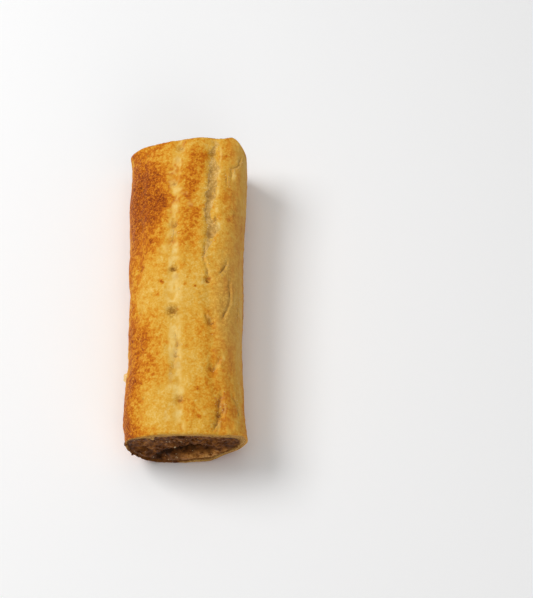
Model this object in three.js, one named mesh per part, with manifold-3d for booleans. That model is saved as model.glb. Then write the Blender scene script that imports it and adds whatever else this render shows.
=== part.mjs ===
// A baked sausage roll, cut square at both ends and lying on its seam. One sheet of pastry goes once round
// a log of sausage meat and laps under it, so the base is two layers thick on the right. Millimetres; +Y
// runs from the near cut end to the far one, +X is right, +Z is up, and the origin is the middle of the
// base, at table level.
//
// The pastry is drawn as a stack of cross-sections. A place on its skin is (s, y): s is the distance round
// the skin from the crown line, to the right if positive, and y the distance along the roll. Relief is a
// height at (s, y).
import * as THREE from "three";
import Module from "manifold-3d";
import { mergeVertices } from "three/addons/utils/BufferGeometryUtils.js";

// ---- Driving dimensions ----
const LENGTH = 150; // cut end to cut end, over the crown
const HALF = LENGTH / 2;

// How the cross-section changes along the roll: [y, value] pairs, joined by a smooth curve.
const LEFT_WIDTH = [
  [-75, 27.0], [-62, 27.9], [-45, 27.1], [-28, 26.8], [-10, 27.0],
  [8, 27.7], [26, 28.0], [44, 28.9], [60, 28.6], [75, 28.2],
];
const RIGHT_WIDTH = [
  [-75, 29.2], [-62, 27.8], [-45, 26.6], [-28, 25.9], [-10, 26.4],
  [8, 26.4], [26, 26.4], [44, 27.1], [60, 27.3], [75, 26.7],
];
const CROWN_HEIGHT = [[-75, 36.9], [-45, 38.5], [0, 39.0], [45, 38.6], [75, 38.0]];
const WAIST_HEIGHT = [[-75, 19.5], [0, 18.5], [75, 17.5]]; // where the roll is widest
const CROWN_LEAN = [[-75, 1.0], [0, 2.0], [50, 4.0], [75, 5.0]]; // how far right the crown stands
const LEFT_SHOULDER = [[-75, 2.2], [0, 2.2], [75, 1.9]]; // 2 is an ellipse, more is squarer
const RIGHT_SHOULDER = [[-75, 2.3], [0, 2.5], [50, 2.8], [75, 3.6]];
const RIGHT_FOOT = [[-75, 1.9], [-62, 2.3], [75, 2.5]];
const LEFT_FOOT = 2.5;
const SAG = 1.2; // how much of the rounded underside has settled flat on the tray
const LEAN_POWER = 1.5; // how fast the lean grows from the waist to the crown
const HALF_WIDTH = 28; // typical, for what only needs to know how far out to the side a point is
const HALF_ROUND = 74; // typical distance round the skin from the crown to the middle of the base

// The cut ends: the crown stands out over the sides, and the near foot a little further.
const END_REACH = 9; // length of roll that a cut end has reshaped
// How far each side is pulled back, and the power by which that grows from the middle out.
const NEAR_PULL = { left: 1.2, right: 2.6, power: { left: 4, right: 4 } };
const FAR_PULL = { left: 0.4, right: 7.5, power: { left: 2, right: 10 } };
const NEAR_FOOT = 1.5;
const FOOT_POWER = 8;
const FAR_EAR = 1.4; // the far left corner flares out
const EAR_SHARE = -0.48; // where, as a share of the way round
const EAR_WIDE = 0.09;
const EAR_REACH = 6; // and how far from the end it starts
// Crags of the far lip, where the crust stands out of the cut, as [share of the way round, half width, reach].
const FAR_CRAGS = [[-0.36, 0.06, 0.9], [0.03, 0.07, 0.7], [0.22, 0.045, 1.6]];
const CRAG_REACH = 6; // length of roll over which they grow
const CENTRING = [0.144, 0.1915]; // moves the whole roll right and back, so that its footprint is centred

// The pastry sheet, by where it lies; the near cut squeezed it to the top and the right, as [y, thickness].
const TOP_THICK = [[-75, 4.4], [-63, 3.2], [75, 3.0]];
const LEFT_THICK = [[-75, 1.7], [-63, 2.6], [75, 2.7]];
const RIGHT_THICK = [[-75, 4.4], [-63, 3.7], [75, 3.6]];
const BASE_THICK = 3.0;
const LAP_THICK = 5.6; // two layers, under the right half
const LIP_ROUND = 1.1; // rounding of the crust at the cut
// Where the sheet changes thickness, and where its relief ends, as shares of the way round.
const SIDE_FROM = 0.15;
const SIDE_TO = 0.45;
const UNDER_FROM = 0.55;
const UNDER_TO = 0.72;
const BASE_FULL = 0.8;
const LAP_THINS_FROM = 0.93;
const SEAM_X = 2.6; // free edge of the lap, on the underside
const SEAM_WAVES = [[0.7, 13, 0], [0.4, 5.1, 1]]; // how far the edge wanders, as [reach, wavelength, phase]
const SEAM_DEEP = 1.3;
const SEAM_HALF_WIDE = 0.9;
const LAP_GAP_DEEP = 1.2; // the lap's two layers part a little at the cut ends

// Docking holes: three lines of pricks that vent the steam, each line with the depth of its holes, the depth
// of the valley that it lies in, and the holes' [y, s] places. The sheet went on askew, so the lines run
// right towards the near end.
const DOCK_LINES = [
  {
    deep: 0.6,
    valley: 0.35,
    holes: [[-57, -20.5], [-35, -23.5], [-14, -25.5], [8, -26.5], [30, -27.5], [51, -28.5], [70, -27]],
  },
  {
    deep: 1.0,
    valley: 0.7,
    holes: [[-59.3, -2.4], [-38, -5], [-16, -7.3], [5.3, -7.7], [28.5, -9.3], [50.5, -10.5], [70.3, -8.5]],
  },
  {
    deep: 1.1,
    valley: 0.6,
    holes: [[-65.5, 16], [-44, 12], [-21.5, 11], [-0.5, 8.7], [24, 8.8], [44, 7.3], [67, 7.5]],
  },
];
const DOCK_RADIUS = 1.9;
const DOCK_UNEVEN = 0.2; // share by which the depths differ
const VALLEY_HALF_WIDE = 3.2;

// Places where the skin stretched or split as it rose: a run of [s, y] points, and the split's width and
// depth.
const SPLITS = [
  { wide: 2.3, deep: 1.0, run: [[7.8, 72], [7.4, 62], [8.2, 50], [7.8, 41], [7.8, 33], [8.3, 24], [7.8, 14]] },
  { wide: 0.9, deep: 0.9, run: [[6.5, 21], [6.2, 10], [7.8, 5], [9.3, 1], [8.7, -0.5]] },
  { wide: 0.8, deep: 0.8, run: [[17.3, 10.5], [16.0, 6], [13.8, 2.2]] },
  { wide: 0.8, deep: 1.0, run: [[19.3, 1], [19.2, -3], [19.4, -10], [17.2, -17], [15.5, -19.5]] },
  { wide: 0.8, deep: 0.7, run: [[7.5, -17.5], [9.2, -19.5], [11.0, -22]] },
  { wide: 0.9, deep: 0.7, run: [[16.0, -37.5], [13.5, -43], [12.2, -44]] },
  { wide: 1.5, deep: 1.1, run: [[15.5, -53], [17, -57], [15.6, -61], [16, -66], [14, -71], [12, -74]] },
  { wide: 1.2, deep: 0.6, run: [[22, -55], [25.5, -60], [27, -65]] },
  { wide: 0.9, deep: 0.6, run: [[17.5, 52], [16.8, 58.5], [20.5, 61.5], [22.6, 69]] },
  { wide: 1.3, deep: 0.6, run: [[-9.0, 33], [-9.0, 24], [-9.6, 18]] },
  { wide: 1.0, deep: 0.5, run: [[-6, -24], [-4.5, -32], [-5, -38], [-7, -48]] },
];
// Shallow swellings of the skin, as [s, y, radius, height].
const SWELLS = [
  [-1, -8, 13, 0.5], [0, 42, 12, 0.6], [-17, 18, 10, 0.5], [-16, -48, 11, 0.6], [17, -31, 9, 0.6],
  [17, 28, 10, 0.5], [5, -56, 10, 0.5], [-2, 63, 9, 0.5], [-20, 60, 9, 0.4], [-17, -20, 9, 0.3],
];
// Unevenness all over the skin, as [height, size round, size along, offset].
const LUMPS = [[0.35, 9, 12, 40], [0.18, 4, 5, 7]];
// A crease low on the right side, above the part of the sheet that browned against the tray.
const SIDE_CREASE = { wide: 1.1, deep: 0.6, run: [[33.5, 40], [34.5, 18], [34.8, -6], [35.0, -32]] };
// A shard of pastry that has peeled from the left side, and the depth of its root inside the wall.
const SHARD = { y: -39.8, z: 12, out: 4.6, long: 6.5, thick: 1.0, tilt: 0.35, root: 2.2 };

// The meat, which fills the sheet but for the gap that lets the two solids touch without sharing faces.
const FIT_GAP = 0.3;
const MEAT_CRAGS = [[0.78, 5, 0], [0.39, 2.3, 31]]; // roughness of the cut meat, as [height, size, offset]
const SHELF_SOFT = 4; // half of the height over which the shelf turns into the wall above it
const RIM_FLAT = 6; // the crags die away this steeply towards the sheet
const RIM_SHARE = 0.25; // and keep this share of themselves at it
const MEAT_INSET = 0.2;
const NEAR_MEAT = {
  recess: 1.6, // how far the meat's upper part lies behind the crust
  swell: 2.1, // how far its lower part bulges over that
  shelf: 11, // height where the one part ends and the other begins
  furrow: {
    wide: 2.6,
    deep: 3.0,
    run: [[-16, 4], [-12.5, 6], [-9, 9.3], [-5.5, 11.2], [-2, 12.2], [2, 13.4], [5.5, 13.2], [9.5, 13]],
  },
};
const FAR_MEAT = {
  recess: 1.3,
  swell: 1.5,
  shelf: 15,
  furrow: { wide: 2.2, deep: 3.0, run: [[-16, 17], [-9, 20.5], [-3, 17.5], [5, 19.5], [12, 24], [17, 23]] },
};

// Mesh fineness.
const SKIN_COLUMNS = 63;
const SKIN_ROWS = 58;
const CROWN_CROWDING = 0.6; // below 1, columns stand closer over the crown than under the base
const INNER_ROWS = 6; // the same along the sheet's inside and the meat's outside
const INNER_END = HALF - 3;
const MEAT_RINGS = 10;
const MEAT_CORE = 0.06; // radius of the innermost ring, as a share of the outline's
const MEAT_CROWDING = 0.75; // below 1, rings stand closer at the rim than in the middle
const ANGLE_STEPS = 360;

// ---- Small mathematics ----
const mix = (a, b, t) => a + (b - a) * t;
const clamp01 = (t) => Math.min(1, Math.max(0, t));
const ease = (t) => t * t * (3 - 2 * t);
const step = (from, to, x) => ease(clamp01((x - from) / (to - from)));
const bell = (distance, halfWidth) => Math.exp(-((distance / halfWidth) ** 2));

// A smooth cubic curve through [station, value] pairs.
function along(pairs, at) {
  const last = pairs.length - 1;
  const x = Math.min(Math.max(at, pairs[0][0]), pairs[last][0]);
  let i = 0;
  while (i < last - 1 && x > pairs[i + 1][0]) i++;
  const slope = (k) => {
    const a = pairs[Math.max(k - 1, 0)];
    const b = pairs[Math.min(k + 1, last)];
    return (b[1] - a[1]) / (b[0] - a[0]);
  };
  const [x0, y0] = pairs[i];
  const [x1, y1] = pairs[i + 1];
  const h = x1 - x0;
  const t = (x - x0) / h;
  return (
    (2 * t ** 3 - 3 * t ** 2 + 1) * y0 +
    (t ** 3 - 2 * t ** 2 + t) * h * slope(i) +
    (-2 * t ** 3 + 3 * t ** 2) * y1 +
    (t ** 3 - t ** 2) * h * slope(i + 1)
  );
}

// Distance from a point to a run of points, and how far along the run, from 0 to 1, the nearest place is.
function nearRun(run, px, py) {
  let best = Infinity;
  let place = 0;
  for (let i = 0; i < run.length - 1; i++) {
    const [ax, ay] = run[i];
    const [bx, by] = run[i + 1];
    const dx = bx - ax;
    const dy = by - ay;
    const t = clamp01(((px - ax) * dx + (py - ay) * dy) / (dx * dx + dy * dy));
    const d = Math.hypot(px - ax - t * dx, py - ay - t * dy);
    if (d < best) {
      best = d;
      place = (i + t) / (run.length - 1);
    }
  }
  return [best, place];
}

// The depth of a groove that follows a run and fades at both ends.
function groove({ run, wide, deep }, px, py) {
  const [distance, place] = nearRun(run, px, py);
  return deep * bell(distance, wide) * Math.min(1, 4 * place + 0.2, 4 * (1 - place) + 0.2);
}

// Smooth noise from -1 to 1 on a lattice of unit cells.
const lattice = (i, j) => {
  const r = Math.sin(i * 127.1 + j * 311.7) * 43758.5453;
  return 2 * (r - Math.floor(r)) - 1;
};
function noise(x, y) {
  const i = Math.floor(x);
  const j = Math.floor(y);
  const u = ease(x - i);
  const w = ease(y - j);
  return mix(
    mix(lattice(i, j), lattice(i + 1, j), u),
    mix(lattice(i, j + 1), lattice(i + 1, j + 1), u),
    w,
  );
}

// ---- The cross-section ----
// The outline at y, at an angle round the waist: 0 is right, a quarter turn is the crown.
function outline(angle, y) {
  const across = Math.cos(angle);
  const rise = Math.sin(angle);
  const waist = along(WAIST_HEIGHT, y);
  const crown = along(CROWN_HEIGHT, y) - waist;
  const upper = rise > 0;
  const right = across > 0;
  const a = along(right ? RIGHT_WIDTH : LEFT_WIDTH, y);
  const b = upper ? crown : waist + SAG;
  const power = upper
    ? along(right ? RIGHT_SHOULDER : LEFT_SHOULDER, y)
    : right
      ? along(RIGHT_FOOT, y)
      : LEFT_FOOT;
  const reach = (Math.abs(across / a) ** power + Math.abs(rise / b) ** power) ** (-1 / power);
  const lift = clamp01((reach * rise) / crown);
  return new THREE.Vector2(
    reach * across + along(CROWN_LEAN, y) * lift ** LEAN_POWER,
    Math.max(waist + reach * rise, 0),
  );
}

// One cross-section, measured round: at(share) gives the point, outward normal and s of a place, where
// share runs from 0 at the crown to 1 or -1 at the middle of the base, to the right if positive.
function sectionAt(y) {
  const turn = (k) => Math.PI / 2 - (k / ANGLE_STEPS) * Math.PI;
  const halves = [1, -1].map((side) => {
    const points = [];
    const lengths = [0];
    for (let k = 0; k <= ANGLE_STEPS; k++) {
      points.push(outline(Math.PI / 2 + side * (turn(k) - Math.PI / 2), y));
      if (k) lengths.push(lengths[k - 1] + points[k].distanceTo(points[k - 1]));
    }
    return { points, lengths, total: lengths[ANGLE_STEPS] };
  });
  return (share) => {
    const side = share < 0 ? -1 : 1;
    const { points, lengths, total } = halves[share < 0 ? 1 : 0];
    const goal = Math.abs(share) * total;
    let k = 1;
    while (k < ANGLE_STEPS && lengths[k] < goal) k++;
    const t = (goal - lengths[k - 1]) / (lengths[k] - lengths[k - 1]);
    const point = points[k - 1].clone().lerp(points[k], t);
    const before = points[Math.max(k - 3, 0)];
    const after = points[Math.min(k + 2, ANGLE_STEPS)];
    const run = after.clone().sub(before).normalize().multiplyScalar(side);
    return { point, normal: new THREE.Vector2(-run.y, run.x), s: side * goal };
  };
}

// ---- The skin's relief ----
const seamX = (y) =>
  SEAM_WAVES.reduce((x, [reach, wavelength, phase]) => x + reach * Math.sin(y / wavelength + phase), SEAM_X);

// Height of the skin over the plain outline at (s, y): swells stand up; valleys, docking holes and splits
// go in.
function relief(s, y) {
  let height = 0;
  for (const [ss, sy, radius, high] of SWELLS) height += high * bell(Math.hypot(s - ss, y - sy), radius);
  DOCK_LINES.forEach(({ deep, valley, holes }, line) => {
    height -= valley * bell(s - along(holes, y), VALLEY_HALF_WIDE);
    holes.forEach(([holeY, holeS], row) => {
      const uneven = 1 + DOCK_UNEVEN * lattice(row, line);
      height -= deep * uneven * bell(Math.hypot(s - holeS, y - holeY), DOCK_RADIUS);
    });
  });
  for (const split of SPLITS) height -= groove(split, s, y);
  height -= groove(SIDE_CREASE, s, y);
  for (const [high, round, lengthwise, offset] of LUMPS) {
    height += high * noise(s / round + offset, y / lengthwise);
  }
  return height;
}

// How thick the sheet is at a share of the way round.
function thickness(share, y) {
  const down = Math.abs(share);
  const side = along(share < 0 ? LEFT_THICK : RIGHT_THICK, y);
  const under = share < 0 ? BASE_THICK : LAP_THICK;
  const upper = mix(along(TOP_THICK, y), side, step(SIDE_FROM, SIDE_TO, down));
  const thick = mix(upper, under, step(UNDER_FROM, UNDER_TO, down));
  // The two sides meet at the base's middle, where the lap thins out to one layer.
  return share > 0 ? mix(thick, BASE_THICK, step(LAP_THINS_FROM, 1, down)) : thick;
}

// How far a cut end moves a point along the roll.
function endShift(x, z, y) {
  const near = y < 0;
  const amount = clamp01((Math.abs(y) - (HALF - END_REACH)) / END_REACH) ** 2;
  const out = clamp01(Math.abs(x) / HALF_WIDTH);
  const side = x < 0 ? "left" : "right";
  const pull = near ? NEAR_PULL : FAR_PULL;
  const foot = near ? NEAR_FOOT * clamp01(1 - z / along(WAIST_HEIGHT, y)) * (1 - out ** FOOT_POWER) : 0;
  return (near ? 1 : -1) * amount * (pull[side] * out ** pull.power[side] - foot);
}

// The far left corner's flare, as a push along the outline's normal.
const ear = (share, y) => FAR_EAR * step(HALF - EAR_REACH, HALF, y) * bell(share - EAR_SHARE, EAR_WIDE);

// How far the far lip's crags stand out along the roll.
const lipCrags = (share, y) =>
  FAR_CRAGS.reduce((sum, [at, wide, out]) => sum + out * bell(share - at, wide), 0) *
  step(HALF - CRAG_REACH, HALF, y);

// ---- The pastry ----
// Shares of the columns: crowded over the crown, with one on the seam, one at each of its edges and one
// beyond it.
function columns(seamShare) {
  const shares = [];
  for (let i = 0; i < SKIN_COLUMNS; i++) {
    const t = (2 * i) / SKIN_COLUMNS - 1;
    shares.push(t * (CROWN_CROWDING + (1 - CROWN_CROWDING) * t * t));
  }
  const edge = SEAM_HALF_WIDE / HALF_ROUND;
  return shares
    .filter((share) => share < LAP_THINS_FROM)
    .concat([-2.4, -1, 0, 1].map((edges) => seamShare + edges * edge));
}

// The share of the way round where the seam lies.
const seamShareAt = (y, section) => 1 - seamX(y) / section(1).s;

// One ring of the pastry's surface: at y, at a depth under the skin given by inset, from 0 at the skin to 1
// inside.
function ring(y, inset, endGap = 0) {
  const section = sectionAt(y);
  const seamShare = seamShareAt(y, section);
  return columns(seamShare).map((share) => {
    const { point, normal, s } = section(share);
    const thick = thickness(share, y);
    const onBase = step(UNDER_TO, BASE_FULL, Math.abs(share));
    const skinHeight = relief(s, y) * (1 - onBase) * (1 - inset) + ear(share, y);
    const place = point.clone().addScaledVector(normal, skinHeight - inset * thick);
    if (share === seamShare) place.y = mix(SEAM_DEEP, place.y, inset);
    const lapGap = endGap * LAP_GAP_DEEP * step(SIDE_TO, UNDER_TO, share);
    const out = lipCrags(share, y) - Math.sign(y) * lapGap;
    place.y = Math.max(place.y, 0);
    return new THREE.Vector3(place.x, y + endShift(place.x, place.y, y) + out, place.y);
  });
}

// A closed tube from rings that follow the skin out to an end, over the lip, back through the inside and
// round.
function pastryRings() {
  const rings = [];
  for (let j = 0; j <= SKIN_ROWS; j++) rings.push(ring(mix(-1, 1, j / SKIN_ROWS) * (HALF - LIP_ROUND), 0));
  // [inset, distance from the end, lap gap] over the far lip, and in reverse order over the near one
  const lip = [[0.12, 0.3, 0], [0.32, 0, 0], [0.5, 0, 1], [0.68, 0.1, 0], [0.9, 0.5, 0], [1, 1.4, 0]];
  for (const [inset, back, gap] of lip) rings.push(ring(HALF - back, inset, gap));
  for (let j = 0; j <= INNER_ROWS; j++) rings.push(ring(mix(1, -1, j / INNER_ROWS) * INNER_END, 1));
  for (const [inset, back, gap] of lip.slice().reverse()) rings.push(ring(back - HALF, inset, gap));
  return rings;
}

// A mesh from rings of equal length, each joined to the next; a tube's last ring is joined to its first.
function loft(rings, { closed }) {
  const count = rings[0].length;
  const positions = rings.flat().flatMap((p) => [p.x, p.y, p.z]);
  const index = [];
  const spans = closed ? rings.length : rings.length - 1;
  for (let j = 0; j < spans; j++) {
    const next = (j + 1) % rings.length;
    for (let i = 0; i < count; i++) {
      const k = (i + 1) % count;
      const [a, b, c, d] = [j * count + i, j * count + k, next * count + k, next * count + i];
      index.push(a, c, d, a, b, c);
    }
  }
  if (!closed) {
    for (const [j, turned] of [[0, false], [rings.length - 1, true]]) {
      const tip = positions.length / 3;
      const centre = rings[j].reduce((sum, p) => sum.add(p), new THREE.Vector3()).divideScalar(count);
      positions.push(centre.x, centre.y, centre.z);
      for (let i = 0; i < count; i++) {
        const k = (i + 1) % count;
        const pair = [j * count + i, j * count + k];
        index.push(tip, ...(turned ? pair : pair.reverse()));
      }
    }
  }
  return new THREE.BufferGeometry()
    .setAttribute("position", new THREE.Float32BufferAttribute(positions, 3))
    .setIndex(index);
}

// The shard: a thin chip that leans up and out of the left wall.
function shardGeometry() {
  const { y, z, out, long, thick, tilt, root } = SHARD;
  const shape = new THREE.Shape();
  shape.moveTo(0, -long / 2);
  shape.lineTo(0, long / 2);
  shape.lineTo(-out * 0.7, long * 0.4);
  shape.quadraticCurveTo(-out * 1.15, 0, -out * 0.8, -long * 0.45);
  shape.closePath();
  const chip = new THREE.ExtrudeGeometry(shape, { depth: thick, bevelEnabled: false, curveSegments: 4 });
  chip.rotateY(tilt);
  chip.translate(root - along(LEFT_WIDTH, y), y, z);
  return chip;
}

// ---- Solids ----
const wasm = await Module();
wasm.setup();

function solidOf(geometry) {
  const bare = geometry.clone();
  for (const name of ["normal", "uv"]) bare.deleteAttribute(name);
  const merged = mergeVertices(bare, 1e-4);
  return new wasm.Manifold(
    new wasm.Mesh({
      numProp: 3,
      vertProperties: new Float32Array(merged.attributes.position.array),
      triVerts: new Uint32Array(merged.index.array),
    }),
  );
}

function geometryOf(solid) {
  const { numProp, vertProperties, triVerts } = solid.getMesh();
  const positions = [];
  for (let i = 0; i < vertProperties.length; i += numProp) positions.push(...vertProperties.slice(i, i + 3));
  const geometry = new THREE.BufferGeometry()
    .setAttribute("position", new THREE.Float32BufferAttribute(positions, 3))
    .setIndex([...triVerts]);
  geometry.computeVertexNormals();
  return geometry;
}

function pastryGeometry() {
  const wrap = solidOf(loft(pastryRings(), { closed: true }));
  return geometryOf(wrap.add(solidOf(shardGeometry())));
}

// ---- The meat ----
// How far the cut meat stands out from the plain end at (x, z): out over the crust if positive.
function meatFace({ recess, swell, shelf, furrow }, x, z, seed) {
  const low = 1 - step(shelf - SHELF_SOFT, shelf + SHELF_SOFT, z);
  const crags = MEAT_CRAGS.reduce(
    (sum, [high, size, offset]) => sum + high * noise(x / size + seed, z / size + offset),
    0,
  );
  return low * swell - recess + crags - groove(furrow, x, z);
}

// A ring of the meat's outline at y, drawn in towards its middle by shrink, from 1 at the outline to 0.
function meatRing(y, shrink, faceOf) {
  const section = sectionAt(y);
  const waist = along(WAIST_HEIGHT, y);
  return columns(seamShareAt(y, section)).map((share) => {
    const { point, normal } = section(share);
    const edge = point.addScaledVector(normal, -thickness(share, y) - FIT_GAP);
    const x = edge.x * shrink;
    const z = mix(waist, edge.y, shrink);
    const out = faceOf ? faceOf(x, z) * Math.min(1, RIM_FLAT * (1 - shrink) + RIM_SHARE) : 0;
    return new THREE.Vector3(x, y + endShift(x, z, y) + Math.sign(y) * out, z);
  });
}

function meatGeometry() {
  const rings = [];
  const cap = (end, face, seed) =>
    Array.from({ length: MEAT_RINGS }, (_, k) => {
      const shrink = mix(MEAT_CORE, 1, (k / (MEAT_RINGS - 1)) ** MEAT_CROWDING);
      return meatRing(end * (HALF - MEAT_INSET), shrink, (x, z) => meatFace(face, x, z, seed));
    });
  rings.push(...cap(-1, NEAR_MEAT, 3));
  for (let j = 0; j <= INNER_ROWS; j++) rings.push(meatRing(mix(-1, 1, j / INNER_ROWS) * INNER_END, 1));
  rings.push(...cap(1, FAR_MEAT, 17).reverse());
  return geometryOf(solidOf(loft(rings, { closed: false })));
}

// ---- The roll ----
function part(name, geometry, colour, roughness) {
  const mesh = new THREE.Mesh(
    geometry,
    new THREE.MeshStandardMaterial({ color: colour, roughness, metalness: 0 }),
  );
  mesh.name = name;
  return mesh;
}

const roll = new THREE.Group();
roll.name = "sausage_roll";
roll.add(part("pastry", pastryGeometry(), 0xdca04a, 0.62));
roll.add(part("filling", meatGeometry(), 0x6b432a, 0.42));
roll.position.set(...CENTRING, 0);

export default roll;
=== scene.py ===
# %% [markdown]
# # A baked sausage roll
#
# A sheet of puff pastry is wrapped once round a log of sausage meat, cut square at both ends and baked on its lap.
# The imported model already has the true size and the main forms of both. This lesson gives each of them a finer mesh
# of the same shape, then the small things that baking makes: docking holes, splits, blisters, browning, crumbs and
# ragged meat.
#
# Blender works in metres, but a pastry is easier to think about in millimetres. So every size below is in
# millimetres, and it is turned into metres only when a mesh is made. +Y runs along the roll from the near cut end to
# the far one, +X is right and +Z is up.

# %% Load the model
import math

import bpy
import numpy as np
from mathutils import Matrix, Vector


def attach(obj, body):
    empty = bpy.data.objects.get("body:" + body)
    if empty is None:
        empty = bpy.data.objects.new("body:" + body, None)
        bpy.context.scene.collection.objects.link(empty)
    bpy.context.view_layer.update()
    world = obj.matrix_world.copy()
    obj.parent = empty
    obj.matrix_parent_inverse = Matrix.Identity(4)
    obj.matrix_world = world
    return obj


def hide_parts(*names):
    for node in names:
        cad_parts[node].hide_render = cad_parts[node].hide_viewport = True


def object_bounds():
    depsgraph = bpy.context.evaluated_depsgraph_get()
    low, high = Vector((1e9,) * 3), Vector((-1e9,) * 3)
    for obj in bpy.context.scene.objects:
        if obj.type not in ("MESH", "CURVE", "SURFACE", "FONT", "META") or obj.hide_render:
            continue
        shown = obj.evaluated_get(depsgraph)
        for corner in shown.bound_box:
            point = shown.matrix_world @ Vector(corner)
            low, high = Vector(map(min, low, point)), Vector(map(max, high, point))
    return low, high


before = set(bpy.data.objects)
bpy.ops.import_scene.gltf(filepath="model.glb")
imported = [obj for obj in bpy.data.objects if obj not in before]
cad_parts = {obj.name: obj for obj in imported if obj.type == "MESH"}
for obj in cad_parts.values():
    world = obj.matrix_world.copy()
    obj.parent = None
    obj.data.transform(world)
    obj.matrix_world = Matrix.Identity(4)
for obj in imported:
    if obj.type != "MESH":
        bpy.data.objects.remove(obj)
cad_box = [list(corner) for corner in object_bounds()]
MM = 0.001
print("the model's box in mm:", (np.array(cad_box) / MM).round(1).tolist())

# %% [markdown]
# ## Camera and stage
#
# The roll is seen from 66 degrees above the table, from a little to its right, through a long lens. A long lens a
# good way off keeps the far end nearly as wide as the near one, which a short lens close by would not.
#
# The light comes from the left and a little from behind, so the right side and the near cut end are in soft shade.
# That is what makes splits and holes readable: each has one dark wall and one bright wall.

# %% Camera
LOOK_AT = Vector((37.6, -1.3, 19.0)) * MM
ELEVATION = math.radians(66)
CAMERA_DISTANCE = 760 * MM
LENS_MM, SENSOR_MM = 96.8, 36


def new_object(name, data):
    """An object with this data, linked to the scene."""
    made = bpy.data.objects.new(name, data)
    bpy.context.scene.collection.objects.link(made)
    return made


camera = new_object("camera", bpy.data.cameras.new("camera"))
camera.data.lens, camera.data.sensor_width = LENS_MM, SENSOR_MM
towards_camera = Vector((0, -math.cos(ELEVATION), math.sin(ELEVATION)))
camera.location = LOOK_AT + CAMERA_DISTANCE * towards_camera
camera.rotation_euler = (-towards_camera).to_track_quat("-Z", "Y").to_euler()
bpy.context.scene.camera = camera
print("camera at", [round(c, 3) for c in camera.location])


# %% Lights and floor
SKY_STRENGTH = 0.213
FLOOR_HALF = 3.0
FLOOR_PAINT = {"Base Color": (0.98, 0.98, 0.98, 1), "Roughness": 0.9}


def area_light(name, place, aim, size, watts):
    """A square soft light that faces a point."""
    lamp = bpy.data.lights.new(name, "AREA")
    lamp.size, lamp.energy = size, watts
    light = new_object(name, lamp)
    light.location = place
    light.rotation_euler = (Vector(aim) - Vector(place)).to_track_quat("-Z", "Y").to_euler()


def new_material(name, constants):
    """A material, and its shader with these constants on its own sockets."""
    material = bpy.data.materials.new(name)
    material.use_nodes = True
    shader = material.node_tree.nodes["Principled BSDF"]
    for socket, value in constants.items():
        shader.inputs[socket].default_value = value
    return material, shader


area_light("key", place=(-0.75, 0.30, 0.95), aim=(0, 0, 0.02), size=0.6, watts=9.6)
area_light("top", place=(0.05, 0.10, 1.30), aim=(0, 0, 0), size=1.2, watts=4.5)
area_light("fill", place=(0.35, -0.95, 0.45), aim=(0, -0.05, 0.02), size=0.8, watts=2.2)

world = bpy.data.worlds.new("studio")
world.use_nodes = True
world.node_tree.nodes["Background"].inputs["Color"].default_value = (1, 1, 1, 1)
world.node_tree.nodes["Background"].inputs["Strength"].default_value = SKY_STRENGTH
bpy.context.scene.world = world
bpy.context.scene.view_settings.view_transform = "Standard"

floor_mesh = bpy.data.meshes.new("floor")
corners = [(x * FLOOR_HALF, y * FLOOR_HALF, 0) for x, y in ((-1, -1), (1, -1), (1, 1), (-1, 1))]
floor_mesh.from_pydata(corners, [], [(0, 1, 2, 3)])
floor_mesh.materials.append(new_material("floor_paint", FLOOR_PAINT)[0])
floor = new_object("floor", floor_mesh)
print("three lights, and a floor", 2 * FLOOR_HALF, "m wide")

# %% [markdown]
# ## Small mathematics
#
# A roll of pastry is a shape that follows rules: a cross-section that changes slowly along the length, with relief
# laid on it. Rules like that are short in numpy, which works on whole arrays at once, and they can be made to agree
# exactly with the model. Sculpting by hand could look as good, but nobody could change its sizes afterwards.
#
# These few functions are all it takes: a smooth curve through stations, soft steps and bells, and a noise that comes
# out the same on every computer. The tables of stations and spots further down were set render by render.


# %% Curves, steps and noise
def along(pairs, at):
    """A smooth cubic curve through [station, value] pairs."""
    stations, values = np.array(pairs, float).T
    order = np.arange(len(stations))
    after, before = np.minimum(order + 1, order[-1]), np.maximum(order - 1, 0)
    slopes = (values[after] - values[before]) / (stations[after] - stations[before])
    at = np.clip(at, stations[0], stations[-1])
    i = np.clip(np.searchsorted(stations, at) - 1, 0, order[-1] - 1)
    span = stations[i + 1] - stations[i]
    t = (at - stations[i]) / span
    return (
        (2 * t**3 - 3 * t**2 + 1) * values[i]
        + (t**3 - 2 * t**2 + t) * span * slopes[i]
        + (3 * t**2 - 2 * t**3) * values[i + 1]
        + (t**3 - t**2) * span * slopes[i + 1]
    )


def mix(a, b, t):
    return a + (b - a) * t


def step(start, end, x):
    """0 before start, 1 after end, and an easy S between them."""
    t = np.clip((x - start) / (end - start), 0, 1)
    return t * t * (3 - 2 * t)


def bell(distance, half_width):
    return np.exp(-((distance / half_width) ** 2))


def lattice(i, j):
    """A number from -1 to 1 for each corner of a grid, always the same one. Any large factors would do."""
    r = np.sin(i * 127.1 + j * 311.7) * 43758.5453
    return 2 * (r - np.floor(r)) - 1


def noise(x, y):
    """Smooth noise from -1 to 1, with a new value about every unit."""
    i, j = np.floor(x), np.floor(y)
    u, w = step(0, 1, x - i), step(0, 1, y - j)
    lower = mix(lattice(i, j), lattice(i + 1, j), u)
    upper = mix(lattice(i, j + 1), lattice(i + 1, j + 1), u)
    return mix(lower, upper, w)


def rough(x, y, layers=3):
    """Noise with finer and finer layers, from about -1 to 1, each shifted so that their grids don't meet."""
    total = sum(noise(x * 2**k + 17 * k, y * 2**k - 29 * k) / 2**k for k in range(layers))
    return total / (2 - 2.0 ** (1 - layers))


def patches(x, y, wide, long, offset, start, end):
    """Soft-edged patches: 0 where the noise is under start, and 1 where it is over end."""
    return step(start, end, rough(x / wide + offset, y / long))


def pushed(x, y, reach, size, offset):
    """A place, pushed about by noise."""
    return x + reach * rough(x / size, y / size), y + reach * rough(x / size + offset, y / size)


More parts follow.
